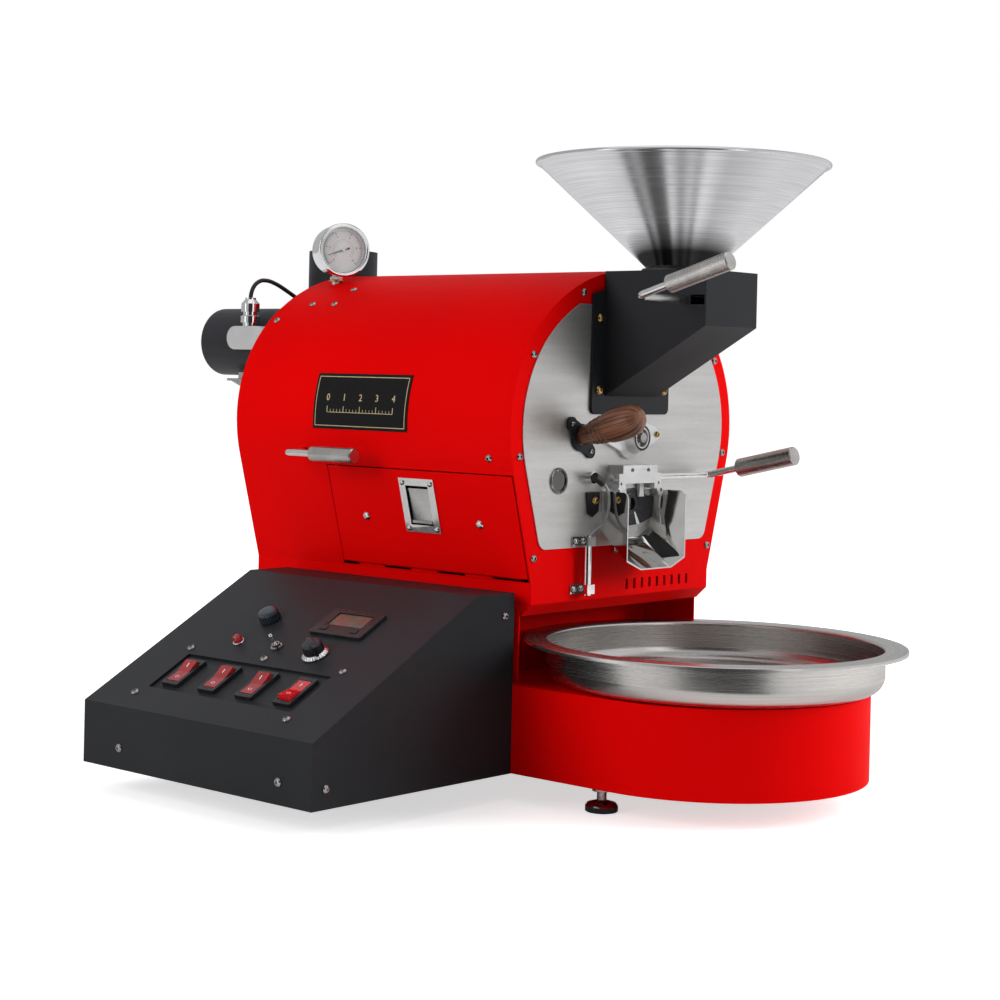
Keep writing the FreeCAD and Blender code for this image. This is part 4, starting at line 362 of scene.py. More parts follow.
def closeEnds(mesh):
    # Fills a strip's open ends and turns every face outwards
    work = bmesh.new()
    work.from_mesh(mesh)
    bmesh.ops.holes_fill(work, edges=[edge for edge in work.edges if edge.is_boundary])
    bmesh.ops.recalc_face_normals(work, faces=work.faces)
    work.to_mesh(mesh)
    work.free()
    return mesh


def unit(vector):
    vector = np.asarray(vector, float)
    return vector / np.linalg.norm(vector)


def roundCorners(points, radius, steps=5):
    # Each inner corner becomes a short curve that leaves its two runs smoothly
    points = np.asarray(points, float)
    radii = np.broadcast_to(radius, (len(points),))
    result = [points[0]]
    t = np.linspace(0, 1, steps)[:, None]
    for before, corner, after, size in zip(points[:-2], points[1:-1], points[2:], radii[1:-1]):
        back, onward = before - corner, after - corner
        reach = min(size, 0.45 * np.linalg.norm(back), 0.45 * np.linalg.norm(onward))
        first = corner + unit(back) * reach
        last = corner + unit(onward) * reach
        result.extend((1 - t) ** 2 * first + 2 * t * (1 - t) * corner + t ** 2 * last)
    result.append(points[-1])
    return np.array(result)


def turnedMesh(name, profile, centre, axis=(0, 0, 1), side=(1, 0, 0), steps=128, closed=False, wave=None):
    # A profile of (radius, distance along the axis) carried round the axis; wave(angle) scales the radius
    axis = unit(axis)
    side = unit(side)
    other = np.cross(axis, side)
    angle = np.linspace(0, 2 * np.pi, steps, endpoint=False)
    scale = np.ones(steps) if wave is None else wave(angle)
    around = np.outer(np.cos(angle) * scale, side) + np.outer(np.sin(angle) * scale, other)
    profile = np.asarray(profile, float)
    points = np.asarray(centre, float) + profile[None, :, 0, None] * around[:, None, :]
    points = points + profile[None, :, 1, None] * axis
    mesh = gridMesh(name, points, closedU=True, closedV=closed)
    mergeDoubles(mesh, 1e-7, outward=True)
    return mesh


def creaseBy(mesh, degrees):
    mesh.polygons.foreach_set("use_smooth", np.ones(len(mesh.polygons), bool))
    mesh.set_sharp_from_angle(angle=math.radians(degrees))


def softenEdges(piece, width, segments=2, degrees=38):
    bevel = piece.modifiers.new("softEdges", "BEVEL")
    bevel.width = width / 1000
    bevel.segments = segments
    bevel.limit_method = "ANGLE"
    bevel.angle_limit = math.radians(degrees)
    bevel.harden_normals = True
    bevel.use_clamp_overlap = True
    return piece


def faceCentres(mesh):
    centres = np.zeros(len(mesh.polygons) * 3, np.float32)
    mesh.polygons.foreach_get("center", centres)
    return centres.reshape(-1, 3) * 1000 - baseShift


finishedNodes = set()


def applyRules(mesh, rules):
    # Each rule is (test on face centres in drawing millimetres, material)
    centres = faceCentres(mesh)
    index = np.zeros(len(mesh.polygons), np.int32)
    for number, (test, finish) in enumerate(rules, 1):
        mesh.materials.append(finish)
        index[test(centres)] = number
    mesh.polygons.foreach_set("material_index", index)


def finishNode(node, material, bevel=0.0, degrees=32, rules=(), flatten=0.004):
    # A merged copy of the CAD node with smooth curved faces, softened edges and its finishes
    mesh = frame["nodes"][node].data.copy()
    mesh.materials.clear()
    mergeDoubles(mesh, 2e-6, flatten)
    piece = linkObject(node + "Finished", mesh, bodyOfNode[node], (node,))
    mesh.materials.append(material)
    creaseBy(mesh, degrees)
    if rules:
        applyRules(mesh, rules)
    if bevel:
        softenEdges(piece, bevel)
    finishedNodes.add(node)
    return piece


def addPiece(name, mesh, material, body, nodes=(), bevel=0.0, degrees=None):
    mesh.materials.append(material)
    if degrees:
        creaseBy(mesh, degrees)
    piece = linkObject(name, mesh, body, nodes)
    if bevel:
        softenEdges(piece, bevel)
    finishedNodes.update(nodes)
    return piece


def joinMeshes(name, meshes):
    work = bmesh.new()
    for mesh in meshes:
        work.from_mesh(mesh)
    joined = bpy.data.meshes.new(name)
    work.to_mesh(joined)
    work.free()
    return joined


def boxMesh(name, low, high, place=None):
    # The six sides of a box between two corners; place turns and moves drawing points
    low, high = np.asarray(low, float), np.asarray(high, float)
    corner = np.array([[x, y, z] for x in (0, 1) for y in (0, 1) for z in (0, 1)], float)
    points = low + corner * (high - low)
    if place is not None:
        points = place(points)
    faces = [(0, 1, 3, 2), (4, 6, 7, 5), (0, 4, 5, 1), (2, 3, 7, 6), (0, 2, 6, 4), (1, 5, 7, 3)]
    mesh = bpy.data.meshes.new(name)
    mesh.from_pydata(toFrame(points).tolist(), [], faces)
    mergeDoubles(mesh, 1e-8, outward=True)
    return mesh


# Body
bodyLook = {"shellEdge": 0.8, "panelEdge": 0.5, "wrapEdge": 0.5, "doorEdge": 0.4, "faceEdge": 0.35}
finishNode("base_shell", redPaint, bodyLook["shellEdge"])
finishNode("front_panel", redPaint, bodyLook["panelEdge"])
finishNode("body_wrap", redPaint, bodyLook["wrapEdge"])
finishNode("rear_panel", redPaint, bodyLook["panelEdge"], rules=[
    (lambda c: (np.hypot(c[:, 0] + 44, c[:, 2] - 486) < 7.5) & (c[:, 1] > 421.1), cableRubber)])
finishNode("body_floor", zincSteel, 0.3)
finishNode("access_door", redPaint, bodyLook["doorEdge"])
finishNode("latch_plate", chrome, bodyLook["faceEdge"], rules=[
    (lambda c: c[:, 0] > -1.0 * (158.6 + (c[:, 2] - 198) * 0.2764) + 1.2, darkSteel)])
finishNode("latch_paddle", sheetSteel, bodyLook["doorEdge"])
finishNode("face_plate", faceSteel, bodyLook["faceEdge"])


# Airflow plate: a thin dark strip that follows the arch, with a gold line round its edge and a plain scale
plateLook = {"front": 147.0, "back": 292.0, "low": 353.0, "high": 415.0, "lines": ((3.2, 0.8),)}
archLook = {"sideX": 40.0, "radius": 158.0, "z": 362.0}


def onArch(y, z, lift):
    # A point on the left side arc at a height, lifted square to the skin
    rise = np.arcsin((z - archLook["z"]) / (archLook["radius"] + lift))
    radius = archLook["radius"] + lift
    return np.stack([-(archLook["sideX"] + radius * np.cos(rise)), y + 0 * z,
                     archLook["z"] + radius * np.sin(rise)], axis=-1)


def archStrip(name, y0, y1, z0, z1, lift, thick):
    # A strip on the arch between two depths and two heights, as a closed slab
    z = np.linspace(z0, z1, 17)
    outer = [onArch(np.full(17, y), z, lift + thick) for y in (y0, y1)]
    inner = [onArch(np.full(17, y), z, lift) for y in (y0, y1)]
    loop = np.stack([outer[0], outer[1], inner[1], inner[0]], axis=1)
    return closeEnds(gridMesh(name, loop, closedV=True))


plate = archStrip("airflowPlate", plateLook["front"], plateLook["back"], plateLook["low"], plateLook["high"],
                  0.12, 1.0)
addPiece("airflowPlate", plate, plateBlack, "machine", ("airflow_plate",), degrees=30)
lineMeshes = []
for inset, wide in plateLook["lines"]:
    y0, y1 = plateLook["front"] + inset, plateLook["back"] - inset
    z0, z1 = plateLook["low"] + inset, plateLook["high"] - inset
    for a, b, c, d in ((y0, y1, z0, z0 + wide), (y0, y1, z1 - wide, z1),
                       (y0, y0 + wide, z0, z1), (y1 - wide, y1, z0, z1)):
        lineMeshes.append(archStrip("plateLine", a, b, c, d, 1.12, 0.12))
addPiece("airflowPlateLines", joinMeshes("airflowPlateLines", lineMeshes), goldPrint, "machine", degrees=30)


def textMesh(text, size):
    # A plain number as a thin mesh, still lying flat, and its vertices as an array
    curve = bpy.data.curves.new("number", "FONT")
    curve.body = text
    curve.size = size
    curve.align_x = "CENTER"
    curve.align_y = "CENTER"
    curve.extrude = 0.03
    curve.resolution_u = 2
    holder = bpy.data.objects.new("numberHolder", curve)
    bpy.context.scene.collection.objects.link(holder)
    bpy.context.view_layer.update()
    mesh = bpy.data.meshes.new_from_object(holder.evaluated_get(bpy.context.evaluated_depsgraph_get()))
    bpy.data.objects.remove(holder)
    flat = np.zeros(len(mesh.vertices) * 3)
    mesh.vertices.foreach_get("co", flat)
    return mesh, flat.reshape(-1, 3)


def placeVertices(mesh, places):
    mesh.vertices.foreach_set("co", toFrame(places).reshape(-1).astype(np.float32))
    mesh.update()
    return mesh


# The plate's plain scale: a row of ticks along its middle with the numbers 0 to 4 above them
scaleLook = {"first": 270.0, "step": 25.25, "base": 372.0, "numbers": 5, "split": 5, "size": 11.0}
scaleMeshes = [archStrip("scaleBase", 169.0, 270.0, 371.4, 372.0, 1.12, 0.12)]
for number in range((scaleLook["numbers"] - 1) * scaleLook["split"] + 1):
    y = scaleLook["first"] - number * scaleLook["step"] / scaleLook["split"]
    tall = number % scaleLook["split"] == 0
    half = 0.45 if tall else 0.25
    scaleMeshes.append(archStrip("scaleTick", y - half, y + half, scaleLook["base"],
                                 scaleLook["base"] + (6.5 if tall else 3.2),
                                 1.12, 0.12))
for number in range(scaleLook["numbers"]):
    digit, flat = textMesh(str(number), scaleLook["size"])
    y = scaleLook["first"] - number * scaleLook["step"]
    scaleMeshes.append(placeVertices(
        digit, onArch(y - flat[:, 0], scaleLook["base"] + 16.0 + flat[:, 1], 1.16 + flat[:, 2])))
addPiece("airflowPlateScale", joinMeshes("airflowPlateScale", scaleMeshes), goldPrint, "machine", degrees=30)
print("body finished")


# Hopper and feed chute
hopperLook = {"centre": (0, -67.3, 0), "neck": 36.0, "low": 535.7, "neckLow": 513.0, "rim": 157.0, "rimZ": 652.1,
              "bead": 3.0}
beadAngle = np.radians(np.linspace(-108, 196, 25))
beadCentre = np.array([hopperLook["rim"] - 0.6, hopperLook["rimZ"] - hopperLook["bead"]])
bead = beadCentre + hopperLook["bead"] * np.stack([np.cos(beadAngle), np.sin(beadAngle)], axis=1)
coneOuter = np.linspace((hopperLook["neck"], hopperLook["low"]), bead[0], 40)
coneInner = np.linspace(bead[-1], (hopperLook["neck"] - 1.7, hopperLook["low"]), 40)
hopperProfile = np.concatenate([
    [(hopperLook["neck"], hopperLook["neckLow"])], [(hopperLook["neck"], hopperLook["low"] - 3.5)],
    [(hopperLook["neck"] + 5.4, hopperLook["low"] - 2.9)], [(hopperLook["neck"] + 6, hopperLook["low"] - 2.3)],
    [(hopperLook["neck"] + 6, hopperLook["low"] - 0.6)], [(hopperLook["neck"] + 5.4, hopperLook["low"])],
    [(hopperLook["neck"] + 1.0, hopperLook["low"] + 0.3)], coneOuter[1:-1], bead, coneInner[1:],
    [(hopperLook["neck"] - 1.7, hopperLook["neckLow"])]])
hopper = turnedMesh("hopperSpun", hopperProfile, hopperLook["centre"], steps=192, closed=True)
addPiece("hopperSpun", hopper, hopperSteel, "machine", ("hopper",), degrees=40)
applyRules(hopper, [(lambda c: c[:, 2] < hopperLook["low"] + 0.5, darkSteel)])
finishNode("feed_chute", blackPaint, 1.0)
finishNode("hopper_gate", chrome, 0.3, rules=[
    (lambda c: (c[:, 0] < -110) & (c[:, 1] < -138), gripSteel["gate"]),
    (lambda c: c[:, 0] > -45, sheetSteel)])


# Cooling pan
panLook = {"centre": (0, -123.5, 0), "wall": 178.9, "rimZ": 139.3, "floor": 93.3, "corner": 18.0, "sheet": 1.2}


def quarter(cx, cz, radius, a0, a1, steps=9):
    angle = np.radians(np.linspace(a0, a1, steps))
    return np.stack([cx + radius * np.cos(angle), cz + radius * np.sin(angle)], axis=1)


def panProfile():
    # The pan's wall, floor and folded rim as one closed loop: outside up, round the lip, and inside down
    wall, rimZ, floor, corner, t = (panLook[key] for key in ("wall", "rimZ", "floor", "corner", "sheet"))
    outside = quarter(wall - corner, floor + corner, corner, -90, 0)
    shoulder = quarter(wall + 2.5, rimZ - t - 2.5, 2.5, 180, 90, 5)
    lipOut = quarter(201.4, rimZ - 1.6, 1.6, 80, 0, 6)
    lipUnder = [(203.0, rimZ - 4.0), (201.9, rimZ - 4.0), (201.8, rimZ - 1.9)]
    shoulderIn = quarter(wall - t + 3.7, rimZ - 3.7, 3.7, 90, 180, 6)
    inside = quarter(wall - corner, floor + corner, corner - t, 0, -90)
    return np.concatenate([
        [(147.4, 85.4), (148.5, 85.4), (148.5, floor)], outside, np.linspace((wall, 112.0), (wall, rimZ - 4.2), 12),
        shoulder, [(198.0, rimZ - t), (200.6, rimZ - t - 0.1)], lipUnder[::-1], lipOut[::-1],
        np.linspace((199.0, rimZ), (wall + 4.0, rimZ), 8), shoulderIn,
        np.linspace((wall - t, rimZ - 5.5), (wall - t, 112.0), 12), inside,
        [(142.6, floor + t), (142.6, floor + 0.1), (147.4, floor)]])


pan = turnedMesh("coolingPan", panProfile(), panLook["centre"], steps=224, closed=True)
addPiece("coolingPanSpun", pan, panSteel, "pan", ("cooling_pan",), degrees=50)
finishNode("pan_screen", sheetSteel)
print("hopper and pan finished")


# Discharge
finishNode("discharge_spout", mirrorSteel, 0.35)
finishNode("hinge_block", paleCast, 0.7)
finishNode("discharge_door", castGrey, 0.5, rules=[
    (lambda c: np.hypot(c[:, 0], c[:, 2] - 279) < 10.9, darkPlastic),
    (lambda c: (np.hypot(c[:, 0], c[:, 2] - 279) < 6.9) & (c[:, 1] > -6.5), portGlass)])
finishNode("door_lever", chrome, 0.3, rules=[(lambda c: (c[:, 0] > 120) & (c[:, 1] < -50), gripSteel["door"])])
finishNode("airflow_lever", chrome, 0.3, rules=[
    (lambda c: (c[:, 0] < -212) & (c[:, 1] < 268), gripSteel["flow"]),
    (lambda c: c[:, 0] > -156, zincSteel)])


# Trier: a turned wooden handle with three beads and a fat rounded end
trierLook = {"seat": (-85.0, 0.0, 352.0), "tilt": 16.7}
trierWay = np.array([0, -math.cos(math.radians(trierLook["tilt"])), math.sin(math.radians(trierLook["tilt"]))])
trierProfile = np.array([
    (0.0, 2.2), (8.2, 2.2), (8.3, 7.1), (10.2, 7.7), (10.8, 9.0), (11.0, 15.0),
    (12.0, 20.0), (13.3, 22.8), (13.4, 24.0),
    (12.5, 25.4), (12.5, 26.4), (14.2, 28.2), (14.4, 29.8), (13.3, 31.4), (13.3, 32.4), (15.1, 34.2), (15.3, 35.8),
    (14.3, 37.4), (14.3, 38.4), (16.0, 41.0), (17.0, 45.0), (17.8, 52.0), (18.0, 58.0), (17.9, 65.0),
    (17.2, 72.0), (15.8, 77.6), (13.4, 82.2), (10.2, 85.4), (6.0, 87.3), (0.0, 87.8)])
handle = turnedMesh("trierHandle", roundCorners(trierProfile, 0.5, 3), trierLook["seat"], trierWay, steps=96)
addPiece("trierHandleTurned", handle, woodGrain, "trier", ("trier_handle",), degrees=50)
finishNode("trier_scoop", sheetSteel, 0.2)
finishNode("trier_flange", blackPaint, 0.5)
finishNode("view_port", screwSteel, 0.3, rules=[
    (lambda c: np.hypot(c[:, 0] + 119.6, c[:, 2] - 306.3) < 10.9, portGlass)])


# Front bearing: pale housing, dark seal and the shaft's end bolt
bearingLook = {"centre": (0, 0, 352.0), "face": -21.5}
finishNode("shaft_bearings", paleCast, 0.6)
seal = roundCorners([(10.2, 0.02), (11.6, 0.02), (11.8, 0.5), (14.0, 0.5), (14.2, 0.02)], 0.2, 4)
sealMesh = turnedMesh("bearingSeal", seal, (0, bearingLook["face"] + 0.1, 352.0), (0, -1, 0), closed=True, steps=96)
addPiece("bearingSeal", sealMesh, cableRubber, "machine", degrees=45)
finishNode("drum_shaft", heatSteel, 0.3, rules=[(lambda c: c[:, 1] < -17, screwSteel)])
finishNode("drum_casing", heatSteel, 0.3)
finishNode("roasting_drum", heatSteel, 0.3)
finishNode("drive_belt", beltRubber, 0.2)
finishNode("motor_pulley", zincSteel, 0.3)
print("discharge and trier finished")


# Rear drive and exhaust
finishNode("drum_motor", motorPaint, 0.8)
finishNode("motor_bracket", sheetSteel, 0.4)
finishNode("terminal_box", paleCast, 0.8, rules=[(lambda c: c[:, 2] > 469.0, chrome)])
finishNode("motor_lead", cableRubber)
finishNode("exhaust_blower", blackPaint, 0.6, rules=[(lambda c: c[:, 1] > 513.1, motorPaint)])
finishNode("exhaust_stack", blackPaint, 0.4)
finishNode("fan_wheel", zincSteel, 0.2)
finishNode("gas_burner", heatSteel, 0.3, rules=[
    (lambda c: (np.abs(c[:, 0]) < 66.5) & (c[:, 2] > 209.5) & (c[:, 2] < 220.5), tileCeramic)])
finishNode("gas_pipe", brass, 0.2)
finishNode("airflow_valve", zincSteel, 0.3)
finishNode("levelling_feet", screwSteel, 0.3, rules=[(lambda c: c[:, 2] < -21.9, darkPlastic)])
finishNode("probe_lead", greyRubber)
finishNode("bean_probe", chrome, 0.3, rules=[
    (lambda c: (c[:, 0] > -74.2) & (c[:, 0] < -49) & (c[:, 2] > 265) & (c[:, 2] < 294)
     & (c[:, 1] > -3.6), blackPaint),
    (lambda c: (np.hypot(c[:, 0] + 60, c[:, 2] - 284) < 4.8) & (c[:, 1] < -3.5), goldPlate),
    (lambda c: (c[:, 2] > 299) & (c[:, 1] < -9), darkPlastic)])
print("rear and probe finished")


# Control box
slopeLook = {"left": -458.6, "front": 13.6, "low": 65.3, "ridgeX": -227.7, "ridgeZ": 189.5}
slopeAngle = math.atan2(slopeLook["ridgeZ"] - slopeLook["low"], slopeLook["ridgeX"] - slopeLook["left"])
slopeWay = np.array([math.cos(slopeAngle), 0, math.sin(slopeAngle)])
slopeOut = np.array([-math.sin(slopeAngle), 0, math.cos(slopeAngle)])


def slopePlace(back, s, lift=0.0, tilt=0.0, pivot=0.0):
    # Takes local points (up the slope, back, out of it) to the slope; tilt turns them about the machine's depth first
    def place(points):
        local = np.asarray(points, float)
        c, w = math.cos(math.radians(tilt)), math.sin(math.radians(tilt))
        x = c * local[..., 0] + w * local[..., 2]
        z = c * local[..., 2] - w * local[..., 0]
        origin = np.array([slopeLook["left"], slopeLook["front"] + back, slopeLook["low"]])
        return (origin + (x + s)[..., None] * slopeWay + local[..., 1, None] * np.array([0, 1, 0])
                + (z + lift + pivot)[..., None] * slopeOut)
    return place


def onSlope(profile, back, s, lift=0.0, steps=96, closed=False, wave=None, name="slopeTurned"):
    centre = slopePlace(back, s, lift)(np.zeros(3))
    return turnedMesh(name, profile, centre, slopeOut, slopeWay, steps, closed, wave)


def offSlope(c):
    # How far face centres lie out of the sloped panel's plane
    return (c - [slopeLook["left"], 0, slopeLook["low"]]) @ slopeOut


def upSlope(c):
    # How far face centres lie up the slope from its low edge
    return (c - [slopeLook["left"], 0, slopeLook["low"]]) @ slopeWay


finishNode("control_housing", blackPaint, 1.1, rules=[
    (lambda c: np.abs(offSlope(c)) < 0.4, panelPaint),
    (lambda c: (c[:, 1] > 359.2), darkPlastic)])
rockerLook = {"backs": (89.0, 145.3, 201.6, 257.9), "s": 69.0, "tilts": (8.0, -8.0, -8.0, -8.0), "lift": -2.5}
finishNode("switch_plate", panelPaint, 0.4, rules=[
    (lambda c: offSlope(c) > -2.9, darkPlastic),
    (lambda c: offSlope(c) < -5.5, darkPlastic)])
for number, (back, tilt) in enumerate(zip(rockerLook["backs"], rockerLook["tilts"]), 1):
    node = f"rocker_{number}"
    finishNode(node, rockerLit if number == 1 else rockerRed, 0.9)
    place = slopePlace(back, rockerLook["s"], rockerLook["lift"], tilt)
    valley = math.degrees(math.atan2(6.2 - 3.9, 15.8))

    def onFace(sign):
        # The rocker's upper or lower face: local x along it from the valley, z square to it
        turn = math.radians(valley) * sign

        def put(points):
            local = np.asarray(points, float)
            x = local[..., 0] * math.cos(turn) - local[..., 2] * math.sin(turn)
            z = local[..., 2] * math.cos(turn) + local[..., 0] * math.sin(turn)
            return place(np.stack([x, local[..., 1], z + 3.9], axis=-1))
        return put
    barMesh = boxMesh("rockerBar", (6.5, -0.75, 0.0), (11.5, 0.75, 0.12), onFace(1))
    angle = np.linspace(0, 2 * np.pi, 40, endpoint=False)
    loop = np.array([(1.0, 0.0), (1.0, 0.12), (1.42, 0.12), (1.42, 0.0)])
    ring = np.stack([-9.0 + np.outer(np.cos(angle), loop[:, 0]) * 1.25, np.outer(np.sin(angle), loop[:, 0]) * 1.9,
                     np.broadcast_to(loop[:, 1], (40, 4))], axis=-1)
    ringMesh = gridMesh("rockerRing", onFace(-1)(ring), closedU=True, closedV=True)
    mergeDoubles(ringMesh, 1e-8, outward=True)
    addPiece(f"rockerMarks{number}", joinMeshes("rockerMarks", [barMesh, ringMesh]), whitePrint,
             bodyOfNode[node], degrees=30)


# Pointer knob: a fluted chrome skirt, a tapered black cap, a raised finger bar and a white line
knobLook = {"back": 115.9, "s": 129.7, "turn": 60.0, "flutes": 30}
skirt = roundCorners([(0, 0.7), (14.8, 0.7), (15.0, 1.6), (14.6, 2.6), (12.4, 4.4), (11.6, 4.9), (0, 4.9)], 0.4, 4)
skirtMesh = onSlope(skirt, knobLook["back"], knobLook["s"], steps=240,
                    wave=lambda a: 1 - 0.012 * (1 + np.cos(a * knobLook["flutes"])))
addPiece("pointerSkirt", skirtMesh, chrome, "selector", ("pointer_knob",), degrees=50)
cap = roundCorners([(0, 4.6), (11.3, 4.6), (11.4, 6.0), (10.6, 13.6), (9.4, 15.6), (0, 16.0)], 0.8, 5)
capMesh = onSlope(cap, knobLook["back"], knobLook["s"], steps=120)
addPiece("pointerCap", capMesh, darkPlastic, "selector", degrees=50)
turn = math.radians(knobLook["turn"])


def pointerPlace(points):
    local = np.asarray(points, float)
    x = local[..., 0] * math.cos(turn) - local[..., 1] * math.sin(turn)
    y = local[..., 0] * math.sin(turn) + local[..., 1] * math.cos(turn)
    return slopePlace(knobLook["back"], knobLook["s"])(np.stack([x, y, local[..., 2]], axis=-1))


def pointerBar():
    # The finger grip: half-width narrows towards both ends and the height falls away at the ends
    t = np.linspace(-1, 1, 41)
    half = 3.4 * (1 - 0.35 * t ** 2)
    top = 17.7 - 2.6 * np.abs(t) ** 3
    x = 13.8 * t
    rows = []
    for side, level in ((-1, 6.0), (-1, 0.92), (-0.72, 1.0), (0.72, 1.0), (1, 0.92), (1, 6.0)):
        z = np.full_like(t, 6.0) if level == 6.0 else 6.0 + (top - 6.0) * level
        rows.append(np.stack([x, side * half, z], axis=-1))
    return np.stack(rows, axis=1)


bar = closeEnds(gridMesh("pointerBar", pointerPlace(pointerBar()), closedV=True))
addPiece("pointerBar", bar, darkPlastic, "selector", bevel=0.3, degrees=40)
lineMesh = boxMesh("pointerLine", (3.0, -0.55, 17.2), (13.0, 0.55, 17.3),
                   lambda p: pointerPlace(p - np.stack([0 * p[:, 0], 0 * p[:, 0], 2.55 * np.abs(p[:, 0] / 13.8) ** 3
                                                        - 0.42 + 0 * p[:, 0]], axis=-1)))
addPiece("pointerLine", lineMesh, whitePrint, "selector", degrees=30)

# Round knob: a domed cap with fine flutes
dialLook = {"back": 228.1, "s": 176.2, "flutes": 22}
dialProfile = roundCorners([(0, 0.7), (11.7, 0.7), (11.9, 1.6), (11.3, 9.6), (9.8, 12.2), (7.0, 12.8), (0, 12.9)],
                           1.1, 6)
dialMesh = onSlope(dialProfile, dialLook["back"], dialLook["s"], steps=220,
                   wave=lambda a: 1 - 0.02 * (1 + np.cos(a * dialLook["flutes"])) ** 2 / 2)
addPiece("roundKnobCap", dialMesh, knobPlastic, "dial", ("round_knob",), degrees=50)

# Pilot lamp: a faceted lens in a bright ring
lampLook = {"back": 234.4, "s": 131.6}
lensMesh = onSlope([(0, 0.4), (5.2, 0.4), (5.2, 4.2), (4.3, 7.6), (2.3, 9.2), (0, 9.4)],
                   lampLook["back"], lampLook["s"], steps=8)
lensMesh.polygons.foreach_set("use_smooth", np.zeros(len(lensMesh.polygons), bool))
lensPiece = addPiece("lampLens", lensMesh, lampRed, "machine", ("pilot_lamp",))
softenEdges(lensPiece, 0.35, 2, 20)
ringProfile = roundCorners([(5.35, 0.1), (6.7, 0.1), (6.7, 1.2), (6.2, 1.9), (5.35, 1.9)], 0.3, 4)
addPiece("lampRing", onSlope(ringProfile, lampLook["back"], lampLook["s"], closed=True), chrome, "machine",
         degrees=45)

# Toggle: a bat with a ball tip; its collar is among the fasteners
finishNode("toggle_bat", chrome)
finishNode("controller", darkPlastic, 0.5, rules=[
    (lambda c: (offSlope(c) < 2.7) & (offSlope(c) > 2.5) & (upSlope(c) > 178.0) & (upSlope(c) < 200.6), screenGlass)])
for node in ("controller_button_1", "controller_button_2"):
    finishNode(node, darkPlastic, 0.7)
finishNode("fasteners", screwSteel, 0.12, rules=[
    (lambda c: (np.abs(np.abs(c[:, 0]) - 58.4) < 6) & (c[:, 1] < -1) & (c[:, 2] > 396) & (c[:, 2] < 489), goldPlate),
    (lambda c: (np.abs(np.abs(c[:, 0]) - 46) < 4) & (c[:, 1] < -1) & (np.abs(c[:, 2] - 355) < 5), goldPlate)])
print("control box finished")


# Gauge
gaugeLook = {"centre": (-70.0, 391.0, 562.0), "turn": -26.0, "front": 30.0,
             "needle": 199.0, "ticks": 50, "sweep": 270.0}
gaugeTurn = math.radians(gaugeLook["turn"])
gaugeOut = np.array([math.sin(gaugeTurn), -math.cos(gaugeTurn), 0])
gaugeRight = np.array([math.cos(gaugeTurn), math.sin(gaugeTurn), 0])
gaugeUp = np.array([0, 0, 1.0])


def onDial(points, lift):
    # Flat dial points (right, up) to the dial's face, lifted towards the glass
    points = np.asarray(points, float)
    height = np.asarray(gaugeLook["front"] - 5.0 + lift)[..., None]
    return (np.array(gaugeLook["centre"]) + points[..., 0, None] * gaugeRight + points[..., 1, None] * gaugeUp
            + height * gaugeOut)


caseProfile = roundCorners([(0, -6.0), (26.5, -6.0), (30.0, -3.0), (30.0, 20.4), (31.2, 21.2),
                            (32.0, 22.4), (32.0, 28.2),
                            (30.6, 30.0), (28.4, 29.8), (27.2, 28.6), (26.7, 24.6), (0, 24.6)], 0.9, 5)
caseMesh = turnedMesh("gaugeCase", caseProfile, gaugeLook["centre"], gaugeOut, gaugeRight, 144)
addPiece("gaugeCaseTurned", caseMesh, chrome, "machine", ("gauge_case",), degrees=40)
dialDisc = turnedMesh("gaugeDial", [(0, 24.62), (26.3, 24.62), (26.5, 24.8), (26.3, 25.0), (0, 25.0)],
                      gaugeLook["centre"], gaugeOut, gaugeRight, 96)
addPiece("gaugeDial", dialDisc, whiteEnamel, "machine", degrees=40)
tickMeshes = []
for number in range(gaugeLook["ticks"] + 1):
    angle = math.radians(225.0 - gaugeLook["sweep"] * number / gaugeLook["ticks"])
    long = number % 10 == 0
    inner = 19.6 if long else (20.8 if number % 5 == 0 else 21.6)
    half = 0.24 if long else 0.12
    radial = np.array([math.cos(angle), math.sin(angle)])
    across = np.array([-radial[1], radial[0]])
    corners = [radial * inner - across * half, radial * 23.4 - across * half, radial * 23.4 + across * half,
               radial * inner + across * half]
    mesh = bpy.data.meshes.new("tick")
    low = onDial(np.array(corners), 0.02)
    high = onDial(np.array(corners), 0.08)
    mesh.from_pydata(toFrame(np.concatenate([low, high])).tolist(), [],
                     [(3, 2, 1, 0), (4, 5, 6, 7), (0, 1, 5, 4), (1, 2, 6, 5), (2, 3, 7, 6), (3, 0, 4, 7)])
    tickMeshes.append(mesh)


def dialArc(name, radius, wide, a0, a1, lift=0.03, steps=80):
    # A thin raised arc on the dial between two angles
    angle = np.radians(np.linspace(a0, a1, steps))[:, None]
    radii = np.array([radius, radius + wide, radius + wide, radius])
    heights = np.array([lift, lift, 0.01, 0.01])
    flat = np.stack([np.cos(angle) * radii, np.sin(angle) * radii], axis=-1)
    return closeEnds(gridMesh(name, onDial(flat, heights), closedV=True))


def dialNumber(text, angle, radius, size):
    # A plain number on the dial, at an angle and a distance from its middle
    mesh, flat = textMesh(text, size)
    middle = np.array([math.cos(math.radians(angle)), math.sin(math.radians(angle))]) * radius
    return placeVertices(mesh, onDial(flat[:, :2] + middle, flat[:, 2] + 0.05))


